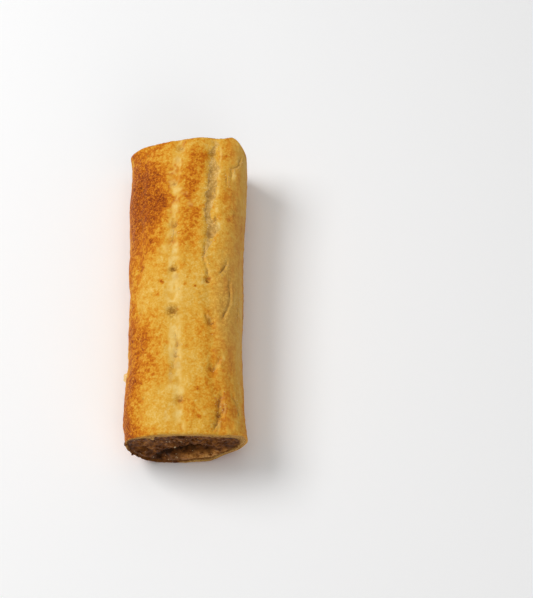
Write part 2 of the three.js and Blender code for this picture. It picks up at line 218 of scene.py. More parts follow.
def near_run(run, x, y):
    """Distance to a line through points, and how far along it, from 0 to 1, the nearest place is."""
    nearest, place = np.full(np.shape(x), np.inf), np.zeros(np.shape(x))
    for i, ((ax, ay), (bx, by)) in enumerate(zip(run[:-1], run[1:])):
        dx, dy = bx - ax, by - ay
        t = np.clip(((x - ax) * dx + (y - ay) * dy) / (dx * dx + dy * dy), 0, 1)
        distance = np.hypot(x - ax - t * dx, y - ay - t * dy)
        closer = distance < nearest
        nearest = np.where(closer, distance, nearest)
        place = np.where(closer, (i + t) / (len(run) - 1), place)
    return nearest, place


RUN_FADE, RUN_LEAST = 4, 0.2  # how steeply a run fades in at each end, and from what


def fading(place):
    """1 along the middle of a run, less at its two ends."""
    return np.minimum(1, RUN_FADE * np.minimum(place, 1 - place) + RUN_LEAST)


print("noise at (0.5, 0.5) is", round(float(noise(np.array(0.5), np.array(0.5))), 4))

# %% [markdown]
# ## The cross-section
#
# Cut through the roll anywhere and the outline is a soft, slightly squarish oval with a flat underneath, where it
# settled on the tray. An ellipse whose power can change does this well: a power of 2 is a true ellipse, and a higher
# one has squarer shoulders. The widths and powers change along the roll, because no hand-made roll is even.

# %% Sizes of the roll, mostly as [y, value] stations
HALF = 75.0  # half of the length over the crown
LEFT_WIDTH = [
    [-75, 27.0], [-62, 27.9], [-45, 27.1], [-28, 26.8], [-10, 27.0], [8, 27.7], [26, 28.0], [44, 28.9],
    [60, 28.6], [75, 28.2],
]  # fmt: skip
RIGHT_WIDTH = [
    [-75, 29.2], [-62, 27.8], [-45, 26.6], [-28, 25.9], [-10, 26.4], [8, 26.4], [26, 26.4], [44, 27.1],
    [60, 27.3], [75, 26.7],
]  # fmt: skip
CROWN_HEIGHT = [[-75, 36.9], [-45, 38.5], [0, 39.0], [45, 38.6], [75, 38.0]]
WAIST_HEIGHT = [[-75, 19.5], [0, 18.5], [75, 17.5]]
CROWN_LEAN = [[-75, 1.0], [0, 2.0], [50, 4.0], [75, 5.0]]  # how far right of the middle the crown stands
LEFT_SHOULDER = [[-75, 2.2], [0, 2.2], [75, 1.9]]
RIGHT_SHOULDER = [[-75, 2.3], [0, 2.5], [50, 2.8], [75, 3.6]]
RIGHT_FOOT = [[-75, 1.9], [-62, 2.3], [75, 2.5]]
LEFT_FOOT = 2.5
SAG = 1.2  # how far the outline would go under the tray, which flattens it
LEAN_POWER = 1.5  # how the lean grows with height
CENTRING = [0.144, 0.1915, 0]  # moves the whole roll right and back, so that its footprint is centred


# %% One section
def outline(angle, y):
    """The outline at y: an angle of 0 is the right, and a quarter turn is the crown."""
    across, rise = np.cos(angle), np.sin(angle)
    upper, right = rise > 0, across > 0
    waist = along(WAIST_HEIGHT, y)
    crown = along(CROWN_HEIGHT, y) - waist
    a = np.where(right, along(RIGHT_WIDTH, y), along(LEFT_WIDTH, y))
    b = np.where(upper, crown, waist + SAG)
    shoulder = np.where(right, along(RIGHT_SHOULDER, y), along(LEFT_SHOULDER, y))
    foot = np.where(right, along(RIGHT_FOOT, y), LEFT_FOOT)
    power = np.where(upper, shoulder, foot)
    reach = (np.abs(across / a) ** power + np.abs(rise / b) ** power) ** (-1 / power)
    lift = np.clip(reach * rise / crown, 0, 1)
    return reach * across + along(CROWN_LEAN, y) * lift**LEAN_POWER, np.maximum(waist + reach * rise, 0)


def section(y, shares, steps=720):
    """Points, outward normals and distances round the skin.

    A share runs from 0 at the crown to 1 or -1 at the middle of the base.
    """
    point, normal = np.zeros((2, len(shares), 2))
    round_skin = np.zeros(len(shares))
    for side in (1, -1):
        mine = (shares >= 0) if side > 0 else (shares < 0)
        x, z = outline(np.pi / 2 - side * np.linspace(0, np.pi, steps + 1), y)
        length = np.concatenate([[0], np.cumsum(np.hypot(np.diff(x), np.diff(z)))])
        goal = np.abs(shares[mine]) * length[-1]
        point[mine] = np.column_stack([np.interp(goal, length, x), np.interp(goal, length, z)])
        run = [np.interp(goal, length, side * np.gradient(v, length)) for v in (x, z)]
        normal[mine] = np.column_stack([-run[1], run[0]]) / np.hypot(*run)[:, None]
        round_skin[mine] = side * goal
    return point, normal, round_skin


middle_x, middle_z = outline(np.linspace(0, 2 * np.pi, 721), 0.0)
print("the middle section is", round(float(np.ptp(middle_x)), 1), "by", round(float(middle_z.max()), 1), "mm")

# %% [markdown]
# ## The sheet as a grid
#
# The skin is a grid of columns, which run along the roll, and rows, which run round it. A place on it has two
# coordinates that stay true however the skin bends: `s`, the distance round from the crown, and `y`, the distance
# along. Holes, splits and browned patches are all placed by `s` and `y`, as a baker would place them on the flat
# sheet.
#
# The columns stand closest over the top, where the eye is, and further apart underneath.

# %% Columns and rows
COLUMNS = 292
ROWS = 300
BASE_DENSITY = 0.42  # columns under the base, for each one over the crown
TOP_SHARE, TOP_FADES = 0.62, 0.1  # the share of the way round that counts as the top, and how soon it ends
LIP_ROUND = 1.1  # the skin stops this far short of the cut, where the lip's rings take over
SAMPLES = 4001

fine_share = np.linspace(-1, 1, SAMPLES)
density = mix(1, BASE_DENSITY, step(TOP_SHARE, TOP_SHARE + TOP_FADES, np.abs(fine_share)))
filled = np.concatenate([[0], np.cumsum((density[1:] + density[:-1]) / 2)])
shares = np.interp(np.arange(COLUMNS) / COLUMNS * filled[-1], filled, fine_share)
rows = np.linspace(-(HALF - LIP_ROUND), HALF - LIP_ROUND, ROWS)
print(COLUMNS, "columns,", ROWS, "rows, a row every", round(rows[1] - rows[0], 2), "mm")

# %% [markdown]
# ## How the sheet thickens, and what the cut did
#
# The sheet is thinnest over the crown and double under the right half of the base, where it laps. The knife dragged
# the sides back from the cut, so each end is slightly domed, and the far left corner flares out like an ear. At the
# near end it also squeezed the pastry to the top and the right, and left almost none on the left, and the lower right
# of that cut is worn back. The far lip stands out in three small crags, where the crust puffed up after the cut.

# %% Thickness and cut ends
TOP_THICK = [[-75, 4.4], [-63, 3.2], [75, 3.0]]
LEFT_THICK = [[-75, 1.7], [-63, 2.6], [75, 2.7]]
RIGHT_THICK = [[-75, 4.4], [-63, 3.7], [75, 3.6]]
BASE_THICK, LAP_THICK = 3.0, 5.6
SIDE_FROM, SIDE_TO, UNDER_FROM, UNDER_TO = 0.15, 0.45, 0.55, 0.72  # shares of the way round to the base
BASE_FULL, LAP_THINS_FROM = 0.8, 0.93
END_REACH, HALF_WIDTH = 9, 28  # the length of roll that the knife moved, and how far out the sides are
NEAR_PULL, FAR_PULL = (1.2, 2.6), (0.4, 7.5)  # how far the left side and the right are pulled back
NEAR_POWER, FAR_POWER = (4, 4), (2, 10)  # the powers by which that grows from the middle out
NEAR_FOOT, FOOT_POWER = 1.5, 8  # how far the near cut's foot stands out, and how it ends towards the sides
FAR_EAR, EAR_SHARE, EAR_WIDE, EAR_REACH = 1.4, -0.48, 0.09, 6
FAR_CRAGS = [[-0.36, 0.06, 0.9], [0.03, 0.07, 0.7], [0.22, 0.045, 1.6]]  # share, half width, how far out
NEAR_NOTCH = [21, 7, 18, 2.0]  # x, half width, height and depth of the worn lower right of the near cut
CRAG_REACH = 6  # the length of roll over which the crags rise
SEAM_X, SEAM_DEEP, SEAM_HALF_WIDE, LAP_GAP_DEEP = 2.6, 1.3, 0.54, 1.2
SEAM_WAVES = [[0.7, 13, 0], [0.4, 5.1, 1]]
TONGUE = {"x": -15.4, "wide": 1.0, "long": 3.4}  # a drip of pastry that hangs over the meat at the near end


def thickness(share, y):
    """How thick the sheet is at a share of the way round."""
    down = np.abs(share)
    side = np.where(share < 0, along(LEFT_THICK, y), along(RIGHT_THICK, y))
    upper = mix(along(TOP_THICK, y), side, step(SIDE_FROM, SIDE_TO, down))
    thick = mix(upper, np.where(share < 0, BASE_THICK, LAP_THICK), step(UNDER_FROM, UNDER_TO, down))
    return np.where(share > 0, mix(thick, BASE_THICK, step(LAP_THINS_FROM, 1, down)), thick)


def end_shift(x, z, y):
    """How far a cut end moves a point along the roll."""
    near, right = y < 0, np.where(x > 0, 1, 0)
    amount = np.clip((np.abs(y) - (HALF - END_REACH)) / END_REACH, 0, 1) ** 2
    out = np.clip(np.abs(x) / HALF_WIDTH, 0, 1)
    pull = np.where(near, np.take(NEAR_PULL, right), np.take(FAR_PULL, right))
    power = np.where(near, np.take(NEAR_POWER, right), np.take(FAR_POWER, right))
    foot = NEAR_FOOT * np.clip(1 - z / along(WAIST_HEIGHT, y), 0, 1) * (1 - out**FOOT_POWER)
    at_x, wide, high, deep = NEAR_NOTCH
    foot -= deep * bell(x - at_x, wide) * step(high, 0, z)
    return np.where(near, 1, -1) * amount * (pull * out**power - np.where(near, foot, 0))


def ear(share, y):
    return FAR_EAR * step(HALF - EAR_REACH, HALF, y) * bell(share - EAR_SHARE, EAR_WIDE)


def lip_crags(share, y):
    """How far the far lip's crags stand out along the roll."""
    out = sum(out * bell(share - at, wide) for at, wide, out in FAR_CRAGS)
    return out * step(HALF - CRAG_REACH, HALF, y)


def seam_x(y):
    """Where the lap's free edge lies on the underside."""
    return SEAM_X + sum(reach * np.sin(y / wave + phase) for reach, wave, phase in SEAM_WAVES)


crown_thick, lap_thick = thickness(np.array([0.0, 0.85]), 0.0)
print("halfway along: under the crown", round(crown_thick, 2), "mm, at the lap", round(lap_thick, 2), "mm")

# %% [markdown]
# ## Relief of the skin
#
# Before baking, a spiked roller pricks the sheet in straight lines, so that steam can get out. The sheet went on
# askew, so the lines run a little to the right towards the near end, and each lies in a shallow valley.
#
# Steam lifts the sheet into broad swellings between those lines, and where the skin can't stretch any more it splits.
# A split is not a neat groove. Its edge wanders, so the distance to it is measured from a place that noise has pushed
# about. It is a narrow crack in a wider dip, and the lip on its right stands up and catches the light.

# %% Swellings, valleys and splits
DOCK_LINES = [  # how deep a line's holes and its valley are, and the holes' [y, s] places
    {"deep": 0.6, "valley": 0.35, "holes": [
        [-57, -20.5], [-35, -23.5], [-14, -25.5], [8, -26.5], [30, -27.5], [51, -28.5], [70, -27],
    ]},
    {"deep": 1.0, "valley": 0.7, "holes": [
        [-59.3, -2.4], [-38, -5], [-16, -7.3], [5.3, -7.7], [28.5, -9.3], [50.5, -10.5], [70.3, -8.5],
    ]},
    {"deep": 1.1, "valley": 0.6, "holes": [
        [-65.5, 16], [-44, 12], [-21.5, 11], [-0.5, 8.7], [24, 8.8], [44, 7.3], [67, 7.5],
    ]},
]  # fmt: skip
VALLEY_HALF_WIDE = 3.2
SWELLS = [  # s, y, radius, height
    [-1, -8, 13, 0.5], [0, 42, 12, 0.6], [-17, 18, 10, 0.5], [-16, -48, 11, 0.6], [17, -31, 9, 0.6],
    [17, 28, 10, 0.5], [5, -56, 10, 0.5], [-2, 63, 9, 0.5], [-20, 60, 9, 0.4], [-17, -20, 9, 0.3],
]  # fmt: skip
LUMPS = [[0.35, 9, 12, 40], [0.18, 4, 5, 7]]  # height, size round, size along, offset
TROUGH = {
    "wide": 2.3,
    "deep": 1.0,
    "run": [[7.8, 72], [7.4, 62], [8.2, 50], [7.8, 41], [7.8, 33], [8.3, 24], [7.8, 14]],
}
SPLITS = [  # half width, depth, how much of a lip stands up beside it, and [s, y] places along it
    [0.9, 0.9, 1, [[6.5, 21], [6.2, 10], [7.8, 5], [9.3, 1], [8.7, -0.5]]],
    [0.8, 0.8, 1, [[17.3, 10.5], [16.0, 6], [13.8, 2.2]]],
    [0.8, 1.0, 0.4, [[19.3, 1], [19.2, -3], [19.4, -10], [17.2, -17], [15.5, -19.5]]],
    [0.8, 0.7, 1, [[7.5, -17.5], [9.2, -19.5], [11.0, -22]]],
    [0.9, 0.7, 1, [[16.0, -37.5], [13.5, -43], [12.2, -44]]],
    [1.5, 1.1, 1, [[15.5, -53], [17, -57], [15.6, -61], [16, -66], [14, -71], [12, -74]]],
    [1.2, 0.6, 1, [[22, -55], [25.5, -60], [27, -65]]],
    [0.9, 0.6, 1, [[17.5, 52], [16.8, 58.5], [20.5, 61.5], [22.6, 69]]],
    [1.3, 0.6, 1, [[-9.0, 33], [-9.0, 24], [-9.6, 18]]],
    [1.0, 0.5, 1, [[-6, -24], [-4.5, -32], [-5, -38], [-7, -48]]],
]
SIDE_CREASE = [1.1, 0.6, 1, [[33.5, 40], [34.5, 18], [34.8, -6], [35.0, -32]]]
FINE_CRACKS = [  # the same, but too fine for the model
    [0.6, 0.35, 1, [[7.3, 74], [7.6, 70.5]]],
    [0.6, 0.20, 1, [[6.4, 57], [6.2, 52], [5.7, 47]]],
    [0.6, 0.20, 1, [[5.9, 41], [5.6, 36], [6.3, 29]]],
    [0.8, 0.70, 1, [[11.2, 33.5], [9.6, 30], [8.4, 27.5]]],
    [0.5, 0.30, 1, [[24.5, -2], [25.0, -12], [24.2, -20]]],
    [0.5, 0.25, 1, [[13, 58], [14.6, 52], [14.2, 48]]],
]
CRACK_WIDE, CRACK_DEEP = 0.4, 0.5  # a crack's half width, and its depth as a share of its dip's
DIP_SHARE = 0.6  # the depth of the dip round a crack, as a share of the model's
TROUGH_STEEP = 0.08  # how much of the trough's depth is a step down to its raw floor
LIP_ASIDE, LIP_WIDE, LIP_HIGH = 1.0, 0.6, 0.30  # a split's raised lip: how far aside, half width, share
LIP_RAW, DIP_RAW = 0.6, 0.40  # how raw the lip and the dip look
BROKEN = (1.3, 3.0, 9, -0.5, 0.2)  # the patches where a crack is open, as patches() takes them
JAG = (0.8, 1.7, 50)  # how far a split's edge wanders, over what distance, and an offset
RAW_MIDDLE = [  # the [y, s] places along the middle of the trough's raw floor
    [12, 6.4], [17, 6.9], [21, 8.2], [25, 9.4], [29, 8.9], [33, 7.0], [38, 6.8], [44, 7.5], [50, 8.0],
    [56, 7.6], [62, 7.4], [68, 7.9], [74, 8.5],
]  # fmt: skip
RAW_HALF_WIDE = [
    [10, 0.4], [17, 1.0], [21, 1.7], [25, 2.8], [29, 2.1], [33, 1.4], [38, 1.8], [44, 2.5], [50, 2.7],
    [58, 2.5], [66, 1.9], [74, 0.7],
]  # fmt: skip
RAW_WANDER = [1.1, 4.5]  # how far the floor's edges wander, and over what distance
RAW_FROM, RAW_TO = (10, 14), (HALF, HALF - 3)  # where the floor begins and ends along the roll
ISLANDS = (1.8, 3.0, 5, 0.10, 0.40)  # the patches of crust left on it
ISLANDS_WHOLE = 0.7  # how much of an island is crust


def trough_floor(s, y):
    """1 on the raw floor of the long trough, but for islands of crust."""
    reach, size = RAW_WANDER
    across = (s + reach * noise(s / size, y / size) - along(RAW_MIDDLE, y)) / along(RAW_HALF_WIDE, y)
    inside = step(*RAW_FROM, y) * step(*RAW_TO, y)
    return np.exp(-(across**4)) * inside * (1 - ISLANDS_WHOLE * patches(s, y, *ISLANDS))


def split_maps(s, y):
    """The splits' change of height, and two shares from 0 to 1: how cracked a place is, and how raw."""
    at_s, at_y = pushed(s, y, *JAG)
    distance, place = near_run(TROUGH["run"], at_s, at_y)
    raw = trough_floor(at_s, at_y)
    dent = bell(distance, TROUGH["wide"]) * fading(place)
    height = -TROUGH["deep"] * mix(dent, raw, TROUGH_STEEP)
    cracked = np.zeros(s.shape)
    broken = patches(s, y, *BROKEN)
    for wide, deep, lip_share, run in [*SPLITS, *FINE_CRACKS, SIDE_CREASE]:
        distance, place = near_run(run, at_s, at_y)
        beside, _ = near_run(run, at_s - LIP_ASIDE, at_y)
        fade = fading(place)
        crack, dip = bell(distance, CRACK_WIDE) * broken, bell(distance, wide)
        lip = bell(beside, LIP_WIDE) * broken * lip_share
        height += deep * fade * (LIP_HIGH * lip - DIP_SHARE * dip - CRACK_DEEP * crack)
        cracked = np.maximum(cracked, crack * fade)
        raw = np.maximum(raw, fade * np.maximum(LIP_RAW * lip, DIP_RAW * dip))
    return height, cracked, raw


def broad_relief(s, y):
    """Swellings, valleys along the docking lines, and lumps: the same as the model's."""
    height = sum(high * bell(np.hypot(s - ss, y - sy), radius) for ss, sy, radius, high in SWELLS)
    for line in DOCK_LINES:
        height -= line["valley"] * bell(s - along(line["holes"], y), VALLEY_HALF_WIDE)
    for high, size_round, size_along, offset in LUMPS:
        height += high * noise(s / size_round + offset, y / size_along)
    return height


# %% [markdown]
# ## Blisters and crinkles
#
# Close up, baked pastry is never smooth. Tiny steam bubbles lift its top leaf, and between them the leaf crinkles.
# Both are real relief here, a tenth or two of a millimetre high, so that they also show on the outline and in the
# exported mesh. Only what is finer than the mesh is left to the material's bump.

# %% Blisters
BLISTERS, BLISTERS_TO = 900, 52  # how many, and how far round from the crown
BLISTER_RADIUS = (0.7, 2.0)
BLISTER_HIGH = (0.05, 0.20)
BLISTER_LONG, BLISTER_FLAT = 0.8, 1.5  # they are longer than wide, and steeper at the edge than a bell
CRINKLES = [[0.09, 2.2, 2.6, 3], [0.07, 1.1, 1.2, 91]]  # height, size round, size along, offset


def blister_relief(s, y):
    """Small steam bubbles at random places on the skin, flatter than half a ball."""
    rng = np.random.default_rng(7)
    height = np.zeros(s.shape)
    for _ in range(BLISTERS):
        at_s, at_y = rng.uniform(-BLISTERS_TO, BLISTERS_TO), rng.uniform(-HALF, HALF)
        radius, high = rng.uniform(*BLISTER_RADIUS), rng.uniform(*BLISTER_HIGH)
        near = slice(*np.searchsorted(y[:, 0], [at_y - 2 * radius, at_y + 2 * radius]))
        distance = np.hypot(s[near] - at_s, (y[near] - at_y) * BLISTER_LONG)
        height[near] += high * bell(distance, radius) ** BLISTER_FLAT
    return height


def crinkle_relief(s, y):
    return sum(high * noise(s / size_s + o, y / size_y) for high, size_s, size_y, o in CRINKLES)


# %% The skin's grid
sections = [section(y, shares) for y in rows]
skin_s = np.array([one[2] for one in sections])
skin_y = np.repeat(rows[:, None], COLUMNS, axis=1)
split_height, split_open, split_raw = split_maps(skin_s, skin_y)
relief = broad_relief(skin_s, skin_y) + split_height + blister_relief(skin_s, skin_y)
relief += crinkle_relief(skin_s, skin_y)
print("relief from", round(relief.min(), 2), "to", round(relief.max(), 2), "mm")

# %% [markdown]
# ## Building the sheet
#
# The sheet is one closed tube of rings. They follow the skin from the near cut to the far one, go over the lip of the
# cut, come back along the inside, and close over the near lip. The lip's rings also carry the lamination: puff pastry
# is many leaves, and at a cut each leaf ends a little further out or in than the next.

# %% Rings of the sheet
INNER_ROWS = 6
INNER_END = HALF - 3
LEAVES = 7
LEAF_STEP = 0.28  # how far one leaf's end stands out from the next
LEAF_WAVER = (0.25, 60)  # how far a leaf strays from its own layer, and how often
LEAF_RAGGED = [[1, 22, 31, 5], [0.6, 95, 7, 0]]  # share, how often, and offsets for each leaf and each end
DRIP_INSET, ENDS_RAGGED, ENDS_CLEAN = (0.3, 0.6), (0.05, 0.3), (1, 0.8)  # insets where each sets in
SEAM_SIDE = (0.5, 0.9)  # the shares of the way round where the seam sets in
LIP = [  # inset, how far back from the cut, and 1 where the lap's gap is open
    [0.0, 0.9, 0], [0.05, 0.6, 0], [0.12, 0.3, 0], [0.2, 0.12, 0], [0.28, 0.03, 0], [0.36, 0, 0],
    [0.44, 0, 1], [0.5, 0, 1], [0.56, 0, 1], [0.64, 0, 0], [0.72, 0.1, 0], [0.8, 0.25, 0], [0.9, 0.5, 0],
    [1, 1.4, 0],
]  # fmt: skip


def leaf_ends(share, inset, end):
    """How far the leaves' ends stand out of the cut, differing from leaf to leaf and along each leaf."""
    reach, often = LEAF_WAVER
    leaf = np.floor(inset * LEAVES + reach * noise(share * often, share * 0 + end))
    out = 0
    for much, fine, by_leaf, by_end in LEAF_RAGGED:
        out = out + much * noise(share * fine + by_leaf * leaf, leaf + by_end * end)
    return LEAF_STEP * out


def sheet_ring(y, inset, height, lap_gap=0.0, raggedness=0.0):
    """One ring of the sheet at y, at a depth given by inset, from 0 at the skin to 1 inside."""
    point, normal, s = section(y, shares)
    on_base = step(UNDER_TO, BASE_FULL, np.abs(shares))
    lift = height * (1 - on_base) * (1 - inset) + ear(shares, y)
    drip = TONGUE["long"] * bell(point[:, 0] - TONGUE["x"], TONGUE["wide"]) * (np.abs(shares) < SIDE_TO)
    deep = inset * thickness(shares, y) + drip * step(*DRIP_INSET, inset) * step(1 - HALF, -HALF, y)
    place = point + normal * (lift - deep)[:, None]
    x, z = place.T
    seam = bell(x - seam_x(y), SEAM_HALF_WIDE) * step(*SEAM_SIDE, np.abs(shares))
    z = np.maximum(mix(z, np.maximum(z, SEAM_DEEP), seam * (1 - inset)), 0)
    gap = lap_gap * LAP_GAP_DEEP * step(SIDE_TO, UNDER_TO, shares)
    end = np.sign(y)
    out = raggedness * leaf_ends(shares, inset, end) + lip_crags(shares, y)
    return np.column_stack([x, y + end_shift(x, z, y) + end * (out - gap), z])


def lip_rings(end):
    """The rings over one cut, from the skin to the inside."""
    y = end * HALF
    height = broad_relief(skin_s[0 if end < 0 else -1], np.full(COLUMNS, y))
    return [
        sheet_ring(y - end * back, inset, height, gap, step(*ENDS_RAGGED, inset) * step(*ENDS_CLEAN, inset))
        for inset, back, gap in LIP
    ]


rings = [sheet_ring(y, 0, height) for y, height in zip(rows, relief)]
rings += lip_rings(1)
rings += [sheet_ring(y, 1, 0) for y in np.linspace(INNER_END, -INNER_END, INNER_ROWS + 1)]
rings += lip_rings(-1)[::-1]
print(len(rings), "rings of", COLUMNS, "points")


# %% [markdown]
# ## From rings to a mesh
#
# Rings of equal length join into quads. Each point also keeps its `s` and `y`, and how deep it lies in the sheet, as
# attributes: the material and the docking tree read them.


# %% Mesh from rings
def store(mesh, label, values):
    """Keeps a number at each point of a mesh, as an attribute."""
    attribute = mesh.attributes.new(label, "FLOAT", "POINT")
    attribute.data.foreach_set("value", np.asarray(values, np.float32).ravel())


def mesh_from_rings(name, rings, closed, attributes):
    """An object from rings in millimetres: a tube closed in itself, or one with a cap at each end."""
    points = np.concatenate(rings)
    count, total = len(rings[0]), len(rings)
    j, i = np.meshgrid(np.arange(total if closed else total - 1), np.arange(count), indexing="ij")
    j, i = j.ravel(), i.ravel()
    k, n = (i + 1) % count, (j + 1) % total
    faces = np.column_stack([j * count + i, j * count + k, n * count + k, n * count + i]).tolist()
    if not closed:
        faces += [list(range(count))[::-1], list(range((total - 1) * count, total * count))]
    mesh = bpy.data.meshes.new(name)
    mesh.from_pydata(((points + CENTRING) * MM).tolist(), [], faces)
    for label, values in attributes.items():
        store(mesh, label, values)
    mesh.shade_smooth()
    return new_object(name, mesh)


def points_of(mesh):
    """A mesh's points, as rows of x, y and z."""
    points = np.empty(len(mesh.vertices) * 3)
    mesh.vertices.foreach_get("co", points)
    return points.reshape(-1, 3)


def volume_cm3(piece):
    """The volume inside a closed mesh: negative if its faces point inwards."""
    mesh = piece.data
    mesh.calc_loop_triangles()
    corners = np.empty(len(mesh.loop_triangles) * 3, np.int32)
    mesh.loop_triangles.foreach_get("vertices", corners)
    a, b, c = points_of(mesh)[corners.reshape(-1, 3)].transpose(1, 0, 2)
    return float(np.einsum("ij,ij->i", a, np.cross(b, c)).sum() / 6 * 1e6)


# %% [markdown]
# ## Node trees, written as sums
#
# Materials and Geometry Nodes are both networks of small boxes. Wiring them one socket at a time hides what they
# compute, so this class lets Python's own operators do it: `1 - mask * 2` adds a multiply and a subtract. Any box
# that isn't a sum comes from `node()`, with its settings first and then the values or wires for its sockets. The
# boxes that come up again and again, such as noise, ramps and vectors, have short methods of their own.


# %% One small class for sockets
class Wire:
    """A socket of a node tree. Sums on it add Math nodes, and node() adds any other kind."""

    def __init__(self, tree, socket=None):
        self.tree, self.socket = tree, socket

    def output(self, place):
        """Another output of the same node."""
        return Wire(self.tree, self.socket.node.outputs[place])

    def node(self, kind, settings=None, inputs=None, output=0):
        """Any node, with its settings and the values or wires for its sockets."""
        made = self.tree.nodes.new(kind)
        for name, value in (settings or {}).items():
            setattr(made, name, value)
        for name, value in (inputs or {}).items():
            if isinstance(value, Wire):
                self.tree.links.new(value.socket, made.inputs[name])
            else:
                made.inputs[name].default_value = value
        return Wire(self.tree, made.outputs[output])

    def sum(self, operation, other=0, flipped=False):
        """A Math node on this value and another, or on the other and this one if flipped."""
        values = (other, self) if flipped else (self, other)
        return self.node("ShaderNodeMath", {"operation": operation}, dict(enumerate(values)))

    def __add__(self, other):
        return self.sum("ADD", other)

    def __mul__(self, other):
        return self.sum("MULTIPLY", other)

    def __sub__(self, other):
        return self.sum("SUBTRACT", other)

    def __rsub__(self, other):
        return self.sum("SUBTRACT", other, flipped=True)

    def __truediv__(self, other):
        return self.sum("DIVIDE", other)

    def __pow__(self, other):
        return self.sum("POWER", other)

    def step(self, start, end):
        """0 before start, 1 after end, and an easy S between them."""
        settings = {"interpolation_type": "SMOOTHSTEP"}
        return self.node("ShaderNodeMapRange", settings, {"Value": self, "From Min": start, "From Max": end})

    def mix(self, other, share):
        """This colour, turned into another by a share from 0 to 1."""
        return self.node("ShaderNodeMix", {"data_type": "RGBA"}, {0: share, 6: self, 7: other}, output=2)

    def ramp(self, stops):
        """This number as a colour, by stops of [place, colour]."""
        made = self.node("ShaderNodeValToRGB", inputs={"Fac": self})
        elements = made.socket.node.color_ramp.elements
        while len(elements) < len(stops):
            elements.new(1.0)
        for element, (place, colour) in zip(elements, stops):
            element.position, element.color = place, colour
        return made

    def attribute(self, name):
        """A number that the mesh keeps at each point."""
        if self.tree.type == "SHADER":
            return self.node("ShaderNodeAttribute", {"attribute_name": name}, output="Fac")
        return self.node("GeometryNodeInputNamedAttribute", {"data_type": "FLOAT"}, {"Name": name})

    def noise(self, size, detail=2.0, at=None, output=0):
        """Noise with lumps of a size in millimetres, at a place or, in Geometry Nodes, at each point."""
        inputs = {"Vector": at} if at else {}
        inputs |= {"Scale": 1 / (size * MM), "Detail": detail}
        return self.node("ShaderNodeTexNoise", {}, inputs, output)

    def bump(self, height, distance):
        inputs = {"Strength": BUMP_STRENGTH, "Distance": distance * MM, "Height": height}
        return self.node("ShaderNodeBump", {}, inputs)

    def vector(self, x, y, z=0.0):
        return self.node("ShaderNodeCombineXYZ", {}, {"X": x, "Y": y, "Z": z})

    def vector_sum(self, operation, other, output=0):
        """A Vector Math node on this vector and another."""
        return self.node("ShaderNodeVectorMath", {"operation": operation}, {0: self, 1: other}, output)

    def scaled(self, amount):
        """This vector, longer or shorter."""
        return self.node("ShaderNodeVectorMath", {"operation": "SCALE"}, {0: self, "Scale": amount})

    def moved(self, offset):
        """This geometry, moved point by point."""
        return self.node("GeometryNodeSetPosition", {}, {"Geometry": self, "Offset": offset})

    def into(self, socket):
        self.tree.links.new(self.socket, socket)


def linear(red, green, blue):
    """A colour as a screen shows it, 0 to 255, turned into the light that it stands for."""
    parts = [c / 255 / 12.92 if c <= 10 else ((c / 255 + 0.055) / 1.055) ** 2.4 for c in (red, green, blue)]
    return (*parts, 1.0)


print("orange (214, 138, 33) as light:", [round(c, 3) for c in linear(214, 138, 33)])


# %% [markdown]
# ## Where the crust browns, and where shade is painted on
#
# An oven browns what stands nearest its heat and what is thinnest. On this roll that is the left side: one nearly
# burnt patch towards the far end, and a warm band from there to the near end. Low on the left flank the darkening is
# partly browning and partly painted shade. Smaller orange patches lie over the crown. The right side is an even olive
# gold, darker towards the foot; its olive tone, a broad darker patch on its flank and its fine lengthwise streaks are
# painted shade. Underneath, the tray browned it all.
#
# The middle docking line stayed pale, and here and there on it a blister dried out to a greyish cream. The floor of
# the long trough is raw pastry that never saw the heat, and its pits get painted shade from the stain map. Sugar and
# fat also left small red-brown specks.
#
# So there are five maps of the skin: how brown, pale, stained, grey and shaded it is. The shaded map is painted
# shade, and the stain map holds painted shade as well as stains. All but the last are mostly sums of soft spots at
# (s, y), whose edges noise moves about.

# %% Maps of the skin
GOLDEN = 0.34  # how brown the crown is: 0 is raw dough, 1 is nearly burnt
BROWN_PATCHES = [  # s, y, half width round, half width along, how much browner
    [-26, 46, 13, 15, 0.48], [-17, 39, 6, 8, 0.27], [-33, 56, 7, 7, 0.10], [-36, 45, 8, 22, 0.20],
    [-26, 68, 13, 9, 0.20], [-35, 70, 7, 10, 0.20], [-22, 57, 9, 5, 0.14], [-25, 24, 13, 12, 0.30],
    [-34, 5, 8, 25, 0.21], [-23, 14, 8, 5, 0.06], [-30, -16, 7, 8, 0.18], [-27, -27, 9, 9, 0.31],
    [-27, -39, 8, 9, 0.20], [-25, -48, 8, 7, 0.14], [-32, -60, 10, 18, 0.36], [-27, -72, 10, 7, 0.22],
    [-15, -30, 6, 12, 0.16], [-15, -45, 6, 8, 0.12], [-14, 53, 5, 4, 0.08], [-1, 65, 5, 7, 0.24],
    [-3, 55, 6, 5, 0.28], [-1.5, 46, 4, 5, 0.28], [-1, 31, 5, 8, 0.24], [-2, 45, 7, 28, 0.05],
    [-8.5, 42, 2.5, 2.5, 0.22], [-11, 59, 4, 3, 0.10], [-1.5, 18, 5, 6, 0.14], [-8, 18, 2.5, 3, 0.16],
    [12, 65, 3, 6, 0.12], [15, 69, 4, 5, 0.14], [16, 42, 4, 10, 0.14], [22, 33, 5, 12, 0.06],
    [12, -33, 9, 13, 0.13], [10, -18, 6, 6, 0.06], [12, -50, 7, 7, 0.10], [5, -64, 6, 7, 0.14],
    [18, -62, 5, 8, 0.12], [24, -60, 8, 12, 0.08], [18, 0, 3, 5, 0.08], [24, -26, 5, 9, 0.06],
    # the last two make a thin darker strip low on the right flank
    [31.8, -3, 1.5, 16, 0.22], [31.4, -15, 1.3, 4.5, 0.32],
]  # fmt: skip
BROWNEST, LEVELS_OFF = 0.79, 0.75  # past the first the browning nearly levels off, as the sugar is used up
